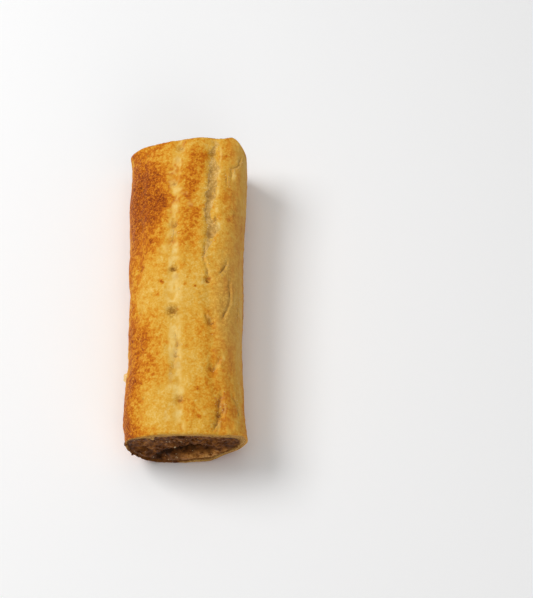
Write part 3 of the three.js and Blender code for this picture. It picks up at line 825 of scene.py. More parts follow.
# on the left flank this darkening is partly browning and partly painted shade
LEFT_BROWN_AND_SHADE, RIGHT_BROWN = (0.10, -36, -46), (0.05, 2, 26)  # how much browner, and between which places
UNDER_BROWN, EDGE_BROWN = (0.30, 44, 56), (0.06, HALF - 5, HALF)
WALL_BROWN = {"much": 0.36, "at": 35.5, "wide": 2.6, "to": (46, 34), "from": (-48, -30)}  # low on the right
# painted shade: fine lengthwise streaks where the right side wrinkles
WRINKLE_SHADE_STREAKS = {"much": 0.18, "wide": 3.5, "long": 14, "from": (14, 22), "to": (48, 36)}  # on the right
SPECKS = [  # s, y, radius, how much browner
    [-7, 73, 1.2, 0.4], [-13, -1, 0.8, 0.7], [-15.2, -7, 0.7, 0.4], [-2, -3, 0.6, 0.4],
    [2.7, -3.7, 0.8, 0.4], [-1.2, 0.5, 0.5, 0.3], [16.5, 31.5, 0.7, 0.4], [-14.3, 39, 0.9, 0.4],
    [-24.5, 9, 1.2, 0.3], [-20, 21, 1.4, 0.3], [-5, -15, 0.7, 0.3], [17.5, -60.5, 0.7, 0.4],
    [18, -62.5, 0.6, 0.4], [-21.5, -33, 0.8, 0.4], [-21.5, -49.5, 0.8, 0.4], [-25, -36, 0.7, 0.3],
    [-25, -48, 0.7, 0.3], [-29, -27, 0.7, 0.3], [-30, 53, 0.6, 0.5], [-32, 56, 0.5, 0.5],
    [5, -54, 0.8, 0.3], [6.5, -67, 1.0, 0.4], [-2.3, -59, 1.7, 0.3], [9.3, 0.8, 0.5, 0.4],
    [8.5, -1.2, 0.7, 0.5],
]  # fmt: skip
# Mostly round the pricks; the spots in the trough's pits and the broad one on the right flank are painted shade
STAINS_AND_SHADE = [  # the same columns: spots steeped by fat and steam, and painted shade
    [-7.7, 5.3, 2.0, 1.6, 0.9], [-7.3, -16, 3.0, 3.0, 0.8], [-5, -38, 0.8, 0.8, 0.6],
    [-2.4, -59, 2.2, 2.0, 0.45], [-9.3, 28.5, 0.9, 1.4, 0.3], [-10.5, 50.5, 1.3, 1.2, 0.5],
    [-9, 70, 1.4, 1.6, 0.35], [-26.5, 8, 1, 1, 0.3], [7.5, 67, 1.4, 1.8, 0.5], [6.3, 57, 0.9, 2.5, 0.25],
    [7.6, 45.5, 1.5, 2.0, 0.4], [6.6, 39, 1.0, 2.5, 0.2], [10.4, 31, 0.6, 2, 0.6], [8.6, 27, 1.2, 1.3, 0.4],
    [8.4, 23, 1.5, 1.8, 0.5], [6.5, 18, 0.7, 2, 0.4], [8.8, -0.5, 1.1, 1.1, 0.8], [11.2, -21.7, 1, 1, 0.6],
    [12, -44, 1.2, 1.5, 0.6], [16, -65.5, 1.4, 2.6, 0.7], [15.2, -59.5, 0.8, 3.5, 0.55],
    [14.2, -70, 0.9, 1.8, 0.6], [18.5, 36, 1.5, 1.5, 0.3], [16.5, -8, 6.5, 22, 0.26],
]  # fmt: skip
PALE_PATCHES = [  # the same columns
    [-9, 70, 1.5, 3, 0.7], [-10, 63, 2, 2.5, 0.7], [-11, 51, 2, 2, 0.7], [-8, 47, 2.2, 1.2, 0.6],
    [-5, 44.5, 1.5, 1, 0.8], [-2.5, 40, 1.5, 3, 0.7], [-9, 34, 1.5, 5, 0.7], [-9.5, 27, 1.5, 4, 0.7],
    [-9, 10, 1, 3.5, 0.9], [-7, -4, 2.5, 4, 0.6], [-6.5, -10, 2.5, 3, 0.6], [-5, -27, 1.8, 4, 0.6],
    [-5, -37, 2.8, 3.5, 0.8], [-7, -53, 2.5, 3, 0.4], [-12, 55, 3, 3, 0.5], [-13, 16, 3, 3, 0.5],
    # those near s = 11 line the trough's right margin: raw cream edge with a painted highlight on the lit lip
    [-4, -12, 6, 16, 0.12], [18, 55, 0.8, 3, 0.6], [14.4, -42.3, 0.9, 1.8, 0.4], [10.7, 66, 0.8, 4, 0.8],
    [10.9, 56, 0.8, 4, 0.9], [11, 46, 0.7, 3, 0.7], [10.4, 37, 0.6, 3, 0.6], [12, 27, 0.8, 3.5, 0.8],
    [16.6, -38.5, 0.8, 1.8, 0.5], [13.4, -22.5, 1.4, 1.6, 0.4], [17.6, -62, 0.8, 3.5, 0.7],
    [15, -71, 1.0, 2.5, 0.6],
]  # fmt: skip
GREY_BLISTERS = [  # the same columns
    [-6.5, 1.3, 1.3, 1.5, 0.8], [-4.5, -42.5, 1.9, 2.0, 0.6], [-7, -48, 0.8, 3, 0.6],
    [-4.6, -32, 0.8, 2, 0.6], [-8.5, 70.5, 1.2, 1.2, 0.5], [-10, 63.5, 1, 2, 0.6], [-10.5, 50.5, 1, 1, 0.5],
    [-8.5, -66, 0.9, 3, 0.4], [-5.4, -35, 1, 1.4, 0.5],
]  # fmt: skip
FLAKY_PLACES = [  # the same columns
    [13, -25, 3, 3, 0.25], [22, -25, 1.5, 1.5, 0.3], [-27, 9, 3, 4, 0.2], [17, -68, 2, 3, 0.3],
    [-21, -44, 2, 2, 0.15],
]  # fmt: skip
LINE_PALE, LINE_WIDE = (0.15, 0.75, 0.2), 2.4  # how pale each docking line is, and how wide
LINE_STRAY = (1.3, 4)  # how far the pale lines stray, and over what distance
LINE_PATCHES = (3.5, 6.0, 21, -0.45, 0.35)  # the stretches of them that are pale
LACE = {"wide": 2.4, "long": 4.2, "edge": (0.45, 0.05)}  # the size of the lace's meshes, and how thin it is
LACE_PALE = (0.45, 1.5)  # how much of the paleness is between the lace, and on it
CLOUDS = [[0.07, 5.5, 9], [0.06, 2.4, 13]]  # unevenness all over, as [amount, size, offset]
# painted shade on the right side: where it begins, and how near the crown it reaches
SHADED_FROM_TO = (11, 26)  # s, where the shaded right side begins and is whole
SHADED_NEARER, SHADED_MIDDLE, SHADED_LONG = 5, -8, 25  # how much nearer the crown it comes, and where


def soft_spots(table, s, y, wander, firmness=1.0):
    """The sum of a table's spots at (s, y). Noise of this reach pushes their edges about."""
    size, offset = 1.5 + 2 * wander, 70  # the further the edges stray, the broader the noise
    at_s, at_y = pushed(s, y, wander, size, offset)
    distances = (np.hypot((at_s - ss) / wide, (at_y - sy) / long) for ss, sy, wide, long, _ in table)
    return sum(spot[4] * np.exp(-(distance ** (2 * firmness))) for spot, distance in zip(table, distances))


def band(much, start, end, x):
    """An amount that sets in between two places."""
    return much * step(start, end, x)


def browning(s, y):
    """How brown the skin is at (s, y), from 0 to 1, with some painted shade mixed in."""
    brown = GOLDEN + soft_spots(BROWN_PATCHES, s, y, wander=3.0, firmness=1.25)
    brown += soft_spots([[ss, sy, radius, radius, more] for ss, sy, radius, more in SPECKS], s, y, wander=0.4)
    brown += band(*RIGHT_BROWN, s) + band(*UNDER_BROWN, np.abs(s))
    brown += band(*EDGE_BROWN, np.abs(y))
    wall, streaks = WALL_BROWN, WRINKLE_SHADE_STREAKS
    brown += wall["much"] * bell(s - wall["at"], wall["wide"]) * step(*wall["to"], y) * step(*wall["from"], y)
    # partly browning, partly painted shade low on the left flank
    brown += band(*LEFT_BROWN_AND_SHADE, s)
    # painted shade of fine lengthwise wrinkles on the right side
    painted_wrinkle_shade = streaks["much"] * rough(s / streaks["wide"], y / streaks["long"])
    brown += painted_wrinkle_shade * step(*streaks["from"], s) * step(*streaks["to"], s)
    brown += sum(much * rough(s / size + offset, y / size) for much, size, offset in CLOUDS)
    return np.minimum(brown, mix(brown, BROWNEST, LEVELS_OFF))


def paleness(s, y):
    """1 where the skin stayed pale: along the docking lines, most of all the middle one, as a patchy lace."""
    lace = step(*LACE["edge"], np.abs(rough(s / LACE["wide"] + 8, y / LACE["long"])))
    reach, size = LINE_STRAY
    stray = s + reach * rough(s / size + 3, y / size)
    aside = [stray - along(line["holes"], y) for line in DOCK_LINES]
    lines = sum(much * bell(distance, LINE_WIDE) for distance, much in zip(aside, LINE_PALE))
    whole = patches(s, y, *LINE_PATCHES) * lines + soft_spots(PALE_PATCHES, s, y, wander=1.2)
    return np.clip(whole * mix(*LACE_PALE, lace), 0, 1)


def painted_shading(s, y):
    """1 on the right side, where shade is painted on. It reaches nearest the crown in the middle of the roll."""
    return step(*SHADED_FROM_TO, s + SHADED_NEARER * bell(y - SHADED_MIDDLE, SHADED_LONG))


golden, burnt = browning(np.array([0.0, -26.0]), np.array([0.0, 46.0]))
print("the crown is", round(float(golden), 2), "brown, and the brownest patch", round(float(burnt), 2))


# %% The crust's mesh
TORN_STEEP = 4  # how soon a change from crust to raw floor counts as torn
SOAK_LEFT, SOAK_BASE, SOAK_LAP = (-0.20, -0.40), (0.86, 0.96), (0.7, 0.9)  # where fat soaks the near lip
SOAK_LEAST, SOAK_UNDER, SOAK_MORE, FAR_SOAK = 0.1, 0.5, 0.2, 0.3
DRY_RIM = (-0.49, 0.07, 0.7)  # where on the left the near lip stayed drier, half how wide, and by how much
CRUMBS_FROM, CRUMBS_TO = (-0.45, -0.60), (-1.0, -0.9)  # crumbs of meat cling to its lower left
CRUMBS_INSET = 0.3  # and only this deep in the sheet, or deeper
FLAKES_TO = (HALF - 2, HALF - 4)  # the skin's flakes stop short of the cuts

labels = ("round", "lengthwise", "inset", "open", "raw", "soaked", "crumbs", "flaky")
maps = {label: np.zeros((len(rings), COLUMNS)) for label in labels}
maps["round"][:ROWS], maps["lengthwise"][:ROWS] = skin_s, skin_y
maps["open"][:ROWS], maps["raw"][:ROWS] = split_open, split_raw
torn = np.abs(np.gradient(split_raw, axis=1)) * TORN_STEEP
flaky = np.clip(torn, 0, 1) + soft_spots(FLAKY_PLACES, skin_s, skin_y, wander=2)
maps["flaky"][:ROWS] = flaky * step(*FLAKES_TO, np.abs(skin_y))
maps["inset"][ROWS:] = 1
near_soak = mix(SOAK_LEAST, 1, step(*SOAK_LEFT, shares))
near_soak *= mix(1, SOAK_UNDER, step(*SOAK_BASE, np.abs(shares)))
near_soak += SOAK_MORE * step(*SOAK_LAP, shares)
dry_at, dry_wide, dry_much = DRY_RIM
near_soak *= 1 - dry_much * bell(shares - dry_at, dry_wide)
low_left = step(*CRUMBS_FROM, shares) * step(*CRUMBS_TO, shares)
for k, (inset, back, _) in enumerate(LIP):
    for ring, end in ((ROWS + k, 1), (len(rings) - 1 - k, -1)):
        maps["round"][ring] = skin_s[-1 if end > 0 else 0]
        maps["lengthwise"][ring] = end * (HALF - back)
        maps["inset"][ring] = inset
        maps["soaked"][ring] = near_soak if end < 0 else FAR_SOAK
        maps["crumbs"][ring] = low_left * (CRUMBS_INSET < inset < 1) * (end < 0)
grid_s, grid_y = maps["round"], maps["lengthwise"]
maps["browning"] = browning(grid_s, grid_y)
maps["pale"] = paleness(grid_s, grid_y)
maps["shaded"] = painted_shading(grid_s, grid_y)
maps["stain"] = np.clip(soft_spots(STAINS_AND_SHADE, grid_s, grid_y, wander=0.9, firmness=1.3), 0, 1)
maps["grey"] = np.clip(soft_spots(GREY_BLISTERS, grid_s, grid_y, wander=0.6, firmness=1.5), 0, 1)

plain_crust = mesh_from_rings("plain_crust", rings, True, maps)
for label in ("browning", "pale", "stain", "grey", "raw"):
    print(label, "from", maps[label].min().round(2), "to", maps[label].max().round(2))
print("the plain crust holds", round(volume_cm3(plain_crust), 1), "cubic centimetres")

# %% [markdown]
# ## Baked pastry, the finish
#
# One number, how brown, drives the colour through a ramp from raw dough to nearly burnt, so that every speck keeps to
# colours that pastry really has. Noise of three sizes moves that number up and down. In the brownest places the skin
# also has fine lighter lines, where the top leaf blistered and cracked: they lie where a noise crosses its middle.
#
# Each of the other maps then lays its own colour over that: painted shade on the right side, the pale lace, the raw
# floor of the trough, dried blisters, and stains, which also paint shade into the trough's pits and on the right
# flank. Cracks and the bottoms of holes get painted shade. At a cut the leaves' ends show, dark where fat soaked
# them.
#
# The bump is only for what is finer than the mesh. Browned skin took the glaze and is smoother than pale skin.

# %% Pastry material
DOUGH_RAMP = [
    [0.00, linear(240, 212, 148)],
    [0.18, linear(233, 193, 104)],
    [0.36, linear(224, 169, 62)],
    [0.52, linear(214, 138, 33)],
    [0.68, linear(194, 106, 20)],
    [0.84, linear(158, 73, 16)],
    [1.00, linear(112, 48, 14)],
]
RAW_RAMP = [[0.34, linear(168, 124, 62)], [0.50, linear(206, 162, 88)], [0.68, linear(236, 202, 130)]]
LEAF_RAMP = [[0.2, linear(160, 112, 54)], [0.8, linear(206, 160, 88)]]  # the leaves' ends at a cut
PALE_SKIN = linear(246, 208, 124)
# painted shade: the right side's olive tone
PAINTED_SHADE_SKIN = linear(214, 172, 104)
DRIED_BLISTER = linear(212, 172, 104)
# the colour of stains, and of painted shade in holes, in the trough's pits and on the right flank
STAIN_AND_SHADE_BROWN = linear(142, 96, 38)
# painted shade in the cracks
CRACK_SHADE = linear(150, 102, 44)
SOAKED_LEAF = linear(108, 64, 26)
STREAK_LENGTH = 9  # how many times longer than wide the streaks on the right side are
LINE_THIN = 0.06  # how thin the lighter lines are
PASTRY_ROUGH, PASTRY_BUMP = 0.66, 0.35
PASTRY_SHINE = {"Specular IOR Level": 0.12, "Specular Tint": linear(255, 214, 140)}
CLOUD_SIZE, BLOB_SIZE, LINE_SIZE, FINE_SIZE, DUST_SIZE = 3.2, 1.5, 1.7, 0.8, 0.35  # of noise, in millimetres
BUMP_STRENGTH = 0.5
BROWNED, CHARRED = (0.38, 0.60), (0.55, 0.80)  # how brown the skin is where each begins and is whole


def new_finish(name, constants):
    """A material, its shader, a wire to begin its sums with, and the place on the object."""
    material, shader = new_material(name, constants)
    start = Wire(material.node_tree)
    return material, shader, start, start.node("ShaderNodeTexCoord", output="Object")


def pastry_material():
    material, shader, start, place = new_finish("baked_pastry", PASTRY_SHINE)
    round_skin, lengthwise = start.attribute("round"), start.attribute("lengthwise")
    brown, inset, right = start.attribute("browning"), start.attribute("inset"), start.attribute("shaded")
    browned, charred = brown.step(*BROWNED), brown.step(*CHARRED)
    clouds, blobs = start.noise(CLOUD_SIZE, 3.0, place), start.noise(BLOB_SIZE, at=place)
    fine, dust = start.noise(FINE_SIZE, at=place), start.noise(DUST_SIZE, at=place)

    # How brown: the map, mottled by noise, with thin lines, painted wrinkle shade on the right, and pale places
    lines = 1 - (start.noise(LINE_SIZE, 1.0, place) - 0.5).sum("ABSOLUTE").step(0.0, LINE_THIN)
    clumps = (clouds * 0.6 + blobs * 0.4).step(0.43, 0.57) - 0.5
    mottle = (clouds - 0.5) * (0.30 - charred * 0.15) + (blobs - 0.5) * (browned * 0.10 + 0.35)
    mottle = mottle + (fine - 0.5) * (charred * 0.30 + 0.42)
    mottle = (mottle + clumps * browned * (1 - charred) * 0.12) * (1 - right * 0.4)
    pale = (start.attribute("pale") + (fine - 0.5) * 0.9 + (blobs - 0.5) * 0.6).step(0.10, 1.00)
    # painted shade of fine lengthwise wrinkles on the right side
    streaks = start.noise(FINE_SIZE, at=start.vector(round_skin * MM, lengthwise * (MM / STREAK_LENGTH)))
    painted_wrinkle_shade = (streaks - 0.5) * (right * round_skin.step(46, 34)) * 0.25
    amount = brown + mottle - lines * (charred * 0.20 + 0.02) + painted_wrinkle_shade - pale * 0.15 + charred * 0.03

    # The other colours, in layers
    floor = (blobs * 0.6 + fine * 0.4 + (clouds - 0.5) * 0.6).ramp(RAW_RAMP)
    leaves = ((inset * LEAVES + blobs * 2.0).sum("PINGPONG", 0.5) * 2).ramp(LEAF_RAMP)
    layers = [  # each colour, and how much it covers those before it
        # painted shade on the right side
        (PAINTED_SHADE_SKIN, right * (lengthwise.step(-60, -25) * 0.25 + 0.10)),
        (PALE_SKIN, pale * 0.35),
        (floor, start.attribute("raw").step(0.15, 0.85) * 0.85),
        (DRIED_BLISTER, start.attribute("grey") * 0.7),
        # stains, and painted shade in the trough's pits and on the right flank
        (STAIN_AND_SHADE_BROWN, start.attribute("stain") * (fine + blobs).step(0.80, 1.12) * 0.9),
        # painted shade in the cracks
        (CRACK_SHADE, start.attribute("open").step(0.25, 0.95) * 0.55),
        # painted shade in the bottoms of the holes
        (STAIN_AND_SHADE_BROWN, start.attribute("hole").step(0.15, 0.95) * 0.4),
        (leaves, inset.step(0.03, 0.30)),
        (SOAKED_LEAF, (inset + start.attribute("soaked") * 0.6 + (fine - 0.5) * 0.5).step(0.6, 1.1)),
    ]
    colour = amount.ramp(DOUGH_RAMP)
    for over, share in layers:
        colour = colour.mix(over, share)
    colour.into(shader.inputs["Base Color"])
    (PASTRY_ROUGH - charred * 0.14 + (fine - 0.5) * 0.3 + pale * 0.08).into(shader.inputs["Roughness"])
    height = fine * 0.5 + dust * 0.25 + lines * charred * 0.3
    start.bump(height, PASTRY_BUMP).into(shader.inputs["Normal"])
    return material


pastry_finish = pastry_material()
print(len(pastry_finish.node_tree.nodes), "nodes in the pastry's finish")

# %% [markdown]
# ## Docking holes
#
# In the oven each prick pulls open into a small cup with a hole at its bottom. They repeat, so a node tree makes them
# all: it finds the nearest prick of a flat plan, in the skin's own coordinates `s` and `y`, and presses the skin in
# by how near it is.
#
# The plan is a mesh of loose points laid out like the flat sheet. The same tree also makes the few pinholes that
# steam blew elsewhere, which are pricks with no cup.

# %% The plan of the pricks
DOCK_RADIUS, DOCK_UNEVEN = 1.9, 0.2
DOCK_OPEN = [  # how far each prick pulled open, by line from the left and by row from the near end
    [0.10, 0.20, 0.10, 0.10, 0.10, 0.10, 0.20],
    [0.30, 0.15, 0.50, 0.60, 0.10, 0.20, 0.15],
    [0.45, 0.30, 0.25, 0.35, 0.20, 0.20, 0.40],
]
PRICK_RADIUS, PRICK_DEEP, PRICK_NARROW = 1.3, 0.8, 0.4
PRICK_WAVER, WAVER_SIZE, WAVER_ALONG = 1.2, 1.3, 0.6  # how uneven the rims of the holes are
PINHOLES = [  # s, y
    [-14.8, -0.5], [-18.0, -6.5], [-26.5, 46.5], [-4.6, -5.2], [5.0, -7.0], [-21, -30], [-13, -24],
]  # fmt: skip
PINHOLE_DEEP, PINHOLE_SHARE = 0.4, 0.35


def prick_plan():
    """Each prick as [s, y, depth of its cup, depth of its hole, width as a share of the widest]."""
    plan = []
    for line, dock in enumerate(DOCK_LINES):
        for row, ((y, s), openness) in enumerate(zip(dock["holes"], DOCK_OPEN[line])):
            cup = dock["deep"] * (1 + DOCK_UNEVEN * lattice(row, line))
            plan.append([s, y, cup, PRICK_DEEP * openness, mix(PRICK_NARROW, 1, openness)])
    plan += [[s, y, 0, PINHOLE_DEEP, PINHOLE_SHARE] for s, y in PINHOLES]
    return np.array(plan, float)


plan = prick_plan()
plan_mesh = bpy.data.meshes.new("prick_plan")
plan_mesh.from_pydata(np.column_stack([plan[:, :2], np.zeros(len(plan))]).tolist(), [], [])
for column, label in enumerate(("cup", "deep", "wide"), 2):
    store(plan_mesh, label, plan[:, column])
prick_points = new_object("prick_plan", plan_mesh)
print(len(plan), "pricks planned")


# %% Trees in and out
def new_tree(name, sockets):
    """A Geometry Nodes tree with named inputs, and a wire from each of them."""
    tree = bpy.data.node_groups.new(name, "GeometryNodeTree")
    tree.interface.new_socket("Geometry", in_out="OUTPUT", socket_type="NodeSocketGeometry")
    for label, kind in {"Geometry": "Geometry", **sockets, "Finish": "Material"}.items():
        tree.interface.new_socket(label, in_out="INPUT", socket_type="NodeSocket" + kind)
    entry = tree.nodes.new("NodeGroupInput")
    return tree, {label: Wire(tree, entry.outputs[label]) for label in ("Geometry", *sockets, "Finish")}


def end_tree(geometry, finish):
    """Realizes what is instanced, gives it its finish and leads it out."""
    real = geometry.node("GeometryNodeRealizeInstances", {}, {"Geometry": geometry})
    painted = real.node("GeometryNodeSetMaterial", {}, {"Geometry": real, "Material": finish})
    painted.into(geometry.tree.nodes.new("NodeGroupOutput").inputs[0])


def run_tree(tree, carrier, name, values):
    """Runs a tree on an object and returns the result as a new object with a plain mesh."""
    modifier = carrier.modifiers.new(tree.name, "NODES")
    modifier.node_group = tree
    for item in tree.interface.items_tree:
        if item.in_out == "INPUT" and item.name in values:
            modifier[item.identifier] = values[item.name]
    bpy.context.view_layer.update()
    evaluated = carrier.evaluated_get(bpy.context.evaluated_depsgraph_get())
    mesh = bpy.data.meshes.new_from_object(evaluated)
    carrier.modifiers.remove(modifier)
    mesh.name = name
    print(name, "has", len(mesh.polygons), "faces")
    return new_object(name, mesh)


# %% The docking tree
def docking_tree():
    sockets = {"Plan": "Object", "Cup Radius": "Float", "Prick Radius": "Float", "Waver": "Float"}
    tree, given = new_tree("press_docking_holes", sockets)
    start = given["Geometry"]
    waver = start.noise(WAVER_SIZE, 1.0) - 0.5
    s = start.attribute("round") + waver * given["Waver"]
    y = start.attribute("lengthwise") - waver * given["Waver"] * WAVER_ALONG
    here = start.vector(s, y)
    pricks = start.node("GeometryNodeObjectInfo", {}, {"Object": given["Plan"]}, output="Geometry")
    nearest = start.node("GeometryNodeSampleNearest", {}, {"Geometry": pricks, "Sample Position": here})

    def of_prick(value, kind="FLOAT"):
        inputs = {"Geometry": pricks, "Value": value, "Index": nearest}
        return start.node("GeometryNodeSampleIndex", {"data_type": kind}, inputs)

    centre = of_prick(start.node("GeometryNodeInputPosition"), "FLOAT_VECTOR")
    distance = here.vector_sum("DISTANCE", centre, output="Value")
    cup = (((distance / given["Cup Radius"]) ** 2) * -1).sum("EXPONENT")
    across = distance / (given["Prick Radius"] * of_prick(start.attribute("wide")))
    hole = ((across**3) * -1).sum("EXPONENT")
    on_skin = 1 - start.attribute("inset").step(0.0, 0.1)
    depth = (cup * of_prick(start.attribute("cup")) + hole * of_prick(start.attribute("deep"))) * on_skin
    pressed = start.moved(start.node("GeometryNodeInputNormal").scaled(depth * -MM))
    inputs = {"Geometry": pressed, "Name": "hole", "Value": hole * on_skin}
    marked = start.node("GeometryNodeStoreNamedAttribute", {"data_type": "FLOAT", "domain": "POINT"}, inputs)
    end_tree(marked, given["Finish"])
    return tree


def keep_in_box(piece, box):
    """Moves the few points that stand out of a box onto its faces."""
    points = points_of(piece.data)
    kept = np.clip(points, *box)
    piece.data.vertices.foreach_set("co", kept.ravel())
    print(piece.name, "moved by at most", round(float(np.abs(kept - points).max() / MM), 2), "mm")


values = {"Plan": prick_points, "Cup Radius": DOCK_RADIUS, "Prick Radius": PRICK_RADIUS, "Waver": PRICK_WAVER}
baked_crust = run_tree(docking_tree(), plain_crust, "baked_crust", {**values, "Finish": pastry_finish})
keep_in_box(baked_crust, cad_box)
for spent in (plain_crust, prick_points):
    bpy.data.objects.remove(spent)
print("the crust holds", round(volume_cm3(baked_crust), 1), "cubic centimetres")

# %% [markdown]
# ## Sausage meat
#
# The filling is one log. The sheet hides it except at the two cut ends, where it cooked ragged: it shrank back under
# the crown and swelled out over the base, and between the two it cracked open. These are broad shapes that the model
# has already.
#
# Minced meat is a mass of grains, so the finer mesh adds close-packed grains with creases between them. Each grain is
# a low dome at a random place, and where domes overlap the higher one shows, which is how grains really look.

# %% Shapes of the cut faces
NEAR_MEAT = {
    "recess": 1.6, "swell": 2.1, "shelf": 11, "furrow_wide": 2.6, "furrow_deep": 3.0, "seed": 3,
    "furrow": [[-16, 4], [-12.5, 6], [-9, 9.3], [-5.5, 11.2], [-2, 12.2], [2, 13.4], [5.5, 13.2], [9.5, 13]],
}  # fmt: skip
FAR_MEAT = {
    "recess": 1.3, "swell": 1.5, "shelf": 15, "furrow_wide": 2.2, "furrow_deep": 3.0, "seed": 17,
    "furrow": [[-16, 17], [-9, 20.5], [-3, 17.5], [5, 19.5], [12, 24], [17, 23]],
}  # fmt: skip
MEAT_CRAGS = [[0.78, 5, 0], [0.39, 2.3, 31]]  # height, size, offset
SHELF_SOFT = 4
RIM_FLAT, RIM_SHARE = 6, 0.25  # the face is flatter towards its rim, down to this share
GRAINS, GRAINS_X, GRAINS_Z = 1100, (-27, 27), (1, 38)
GRAINS_FADE = 4  # how soon the grains rise from nothing at the rim
GRAIN_RADIUS = (0.7, 1.9)
GRAIN_HIGH = (0.25, 0.75)


def face_relief(face, x, z):
    """How far the meat stands out of its cut, as in the model, and how far into its furrow a place is."""
    low = 1 - step(face["shelf"] - SHELF_SOFT, face["shelf"] + SHELF_SOFT, z)
    distance, place = near_run(face["furrow"], x, z)
    furrow = bell(distance, face["furrow_wide"]) * fading(place)
    crags = sum(high * noise(x / size + face["seed"], z / size + offset) for high, size, offset in MEAT_CRAGS)
    return low * face["swell"] - face["recess"] + crags - face["furrow_deep"] * furrow, furrow


def grain_relief(x, z, seed):
    """Close-packed grains of mince as low domes; the higher one shows."""
    rng = np.random.default_rng(seed)
    height = np.zeros(x.shape)
    for _ in range(GRAINS):
        at_x, at_z = rng.uniform(*GRAINS_X), rng.uniform(*GRAINS_Z)
        radius, high = rng.uniform(*GRAIN_RADIUS), rng.uniform(*GRAIN_HIGH)
        distance = np.hypot(x - at_x, z - at_z) / radius
        height = np.maximum(height, high * np.sqrt(np.clip(1 - distance**2, 0, 1)))
    return height


# %% Rings of the meat
MEAT_INTO_SHEET = 0.15  # the meat reaches just into the sheet, so that no gap shows between them
MEAT_INSET = 0.2  # how far inside the pastry's cut the meat's cut lies
MEAT_CORE = 0.06  # the innermost ring of a cut face, as a share of the outermost
FACE_RINGS = 62
MEAT_BODY_ROWS = 6
MEAT_EDGE = 0.96  # beyond this share of the way out, the meat takes no loose grains


def meat_ring(y, shrink, face):
    """One ring of the meat at y, drawn in by shrink, with its grains' height and its furrow."""
    point, normal, _ = section(y, shares)
    waist = along(WAIST_HEIGHT, y)
    edge = point - normal * (thickness(shares, y) - MEAT_INTO_SHEET)[:, None]
    x, z = edge[:, 0] * shrink, mix(waist, edge[:, 1], shrink)
    rim = min(1, RIM_FLAT * (1 - shrink) + RIM_SHARE)
    broad, furrow = face_relief(face, x, z)
    grains = grain_relief(x, z, face["seed"]) * min(1, GRAINS_FADE * (1 - shrink))
    out = broad * rim + grains - np.mean(GRAIN_HIGH) / 2
    return np.column_stack([x, y + end_shift(x, z, y) + np.sign(y) * out, z]), grains, furrow


def meat_mesh():
    shrinks = np.linspace(MEAT_CORE, 1, FACE_RINGS)
    cut = HALF - MEAT_INSET
    parts = [meat_ring(-cut, shrink, NEAR_MEAT) for shrink in shrinks]
    body = [meat_ring(y, 1, NEAR_MEAT)[0] for y in np.linspace(-INNER_END, INNER_END, MEAT_BODY_ROWS + 1)]
    parts += [(points, *np.zeros((2, COLUMNS))) for points in body]
    parts += [meat_ring(cut, shrink, FAR_MEAT) for shrink in shrinks[::-1]]
    points, grains, furrow = zip(*parts)
    on_cut = np.concatenate([shrinks < MEAT_EDGE, np.zeros(MEAT_BODY_ROWS + 1), shrinks[::-1] < MEAT_EDGE])
    attributes = {"grain": grains, "furrow": furrow, "scatter": on_cut[:, None] * np.ones(COLUMNS)}
    return mesh_from_rings("sausage_meat", points, False, attributes)


sausage_meat = meat_mesh()
keep_in_box(sausage_meat, cad_box)
print("the meat holds", round(volume_cm3(sausage_meat), 1), "cubic centimetres")

# %% [markdown]
# ## Cooked meat, the finish
#
# Cooked pork is a warm dark brown. The colour is painted darkest in the furrow and palest on the grains that stand
# out: painted shade in the furrow and in the creases between grains. Fat soaks the lower part, which is golden and
# shines; it is lightened more than the fat alone would make it, as painted light against the shade under the furrow.
# The shine is a clear coat that comes and goes with noise, as wet patches do.

# %% Meat material
MEAT_RAMP = [
    [0.00, linear(42, 18, 6)],
    [0.25, linear(80, 42, 16)],
    [0.50, linear(116, 68, 28)],
    [0.75, linear(160, 104, 48)],
    [1.00, linear(206, 152, 86)],
]
FAT_SOAKED = linear(214, 150, 68)
SOAKED_BELOW, SOAKED_ABOVE = 7 * MM, 14 * MM
SOAKED_LEFT, SOAKED_RIGHT = -12 * MM, 15 * MM
MEAT_ROUGH, MEAT_BUMP = 0.62, 0.4
LUMP_SIZE, COARSE_SIZE, WET_SIZE = 5.0, 2.2, 2.6
MEAT_SHINE = {
    "Specular IOR Level": 0.15,
    "Specular Tint": linear(255, 190, 110),
    "Coat Roughness": 0.15,
    "Coat Tint": linear(255, 214, 150),
}


def meat_material():
    material, shader, start, place = new_finish("sausage_meat", MEAT_SHINE)
    furrow = start.attribute("furrow")
    lumps, coarse = start.noise(LUMP_SIZE, at=place), start.noise(COARSE_SIZE, 3.0, place)
    fine, dust, wet = (start.noise(size, at=place) for size in (FINE_SIZE, DUST_SIZE, WET_SIZE))
    axes = start.node("ShaderNodeSeparateXYZ", {}, {"Vector": place})
    low = axes.output("Z").step(SOAKED_ABOVE, SOAKED_BELOW)
    soaked = low * (axes.output("X").step(SOAKED_LEFT, SOAKED_RIGHT) * 0.95 + 0.05)
    # painted shade: darker in the furrow and in the creases between grains, lighter on grains that stand out
    amount = (lumps - 0.5) * 0.7 + (coarse - 0.5) * 1.1 + (fine - 0.5) * 0.6 + start.attribute("grain") * 0.2
    # the fat-soaked lower part is lightened further, partly painted light against the shade under the furrow
    amount = amount + soaked * 0.60 - low * 0.02 + 0.34 - furrow * 0.5
    colour = amount.ramp(MEAT_RAMP).mix(FAT_SOAKED, soaked * wet.step(0.35, 0.65) * (1 - furrow) * 0.7)
    colour.into(shader.inputs["Base Color"])
    (MEAT_ROUGH - wet.step(0.4, 0.65) * 0.22).into(shader.inputs["Roughness"])
    (wet.step(0.45, 0.65) * low * 0.25).into(shader.inputs["Coat Weight"])
    start.bump(fine * 0.6 + dust * 0.25, MEAT_BUMP).into(shader.inputs["Normal"])
    return material


sausage_meat.data.materials.append(meat_material())
print("the meat has", len(sausage_meat.data.polygons), "faces")

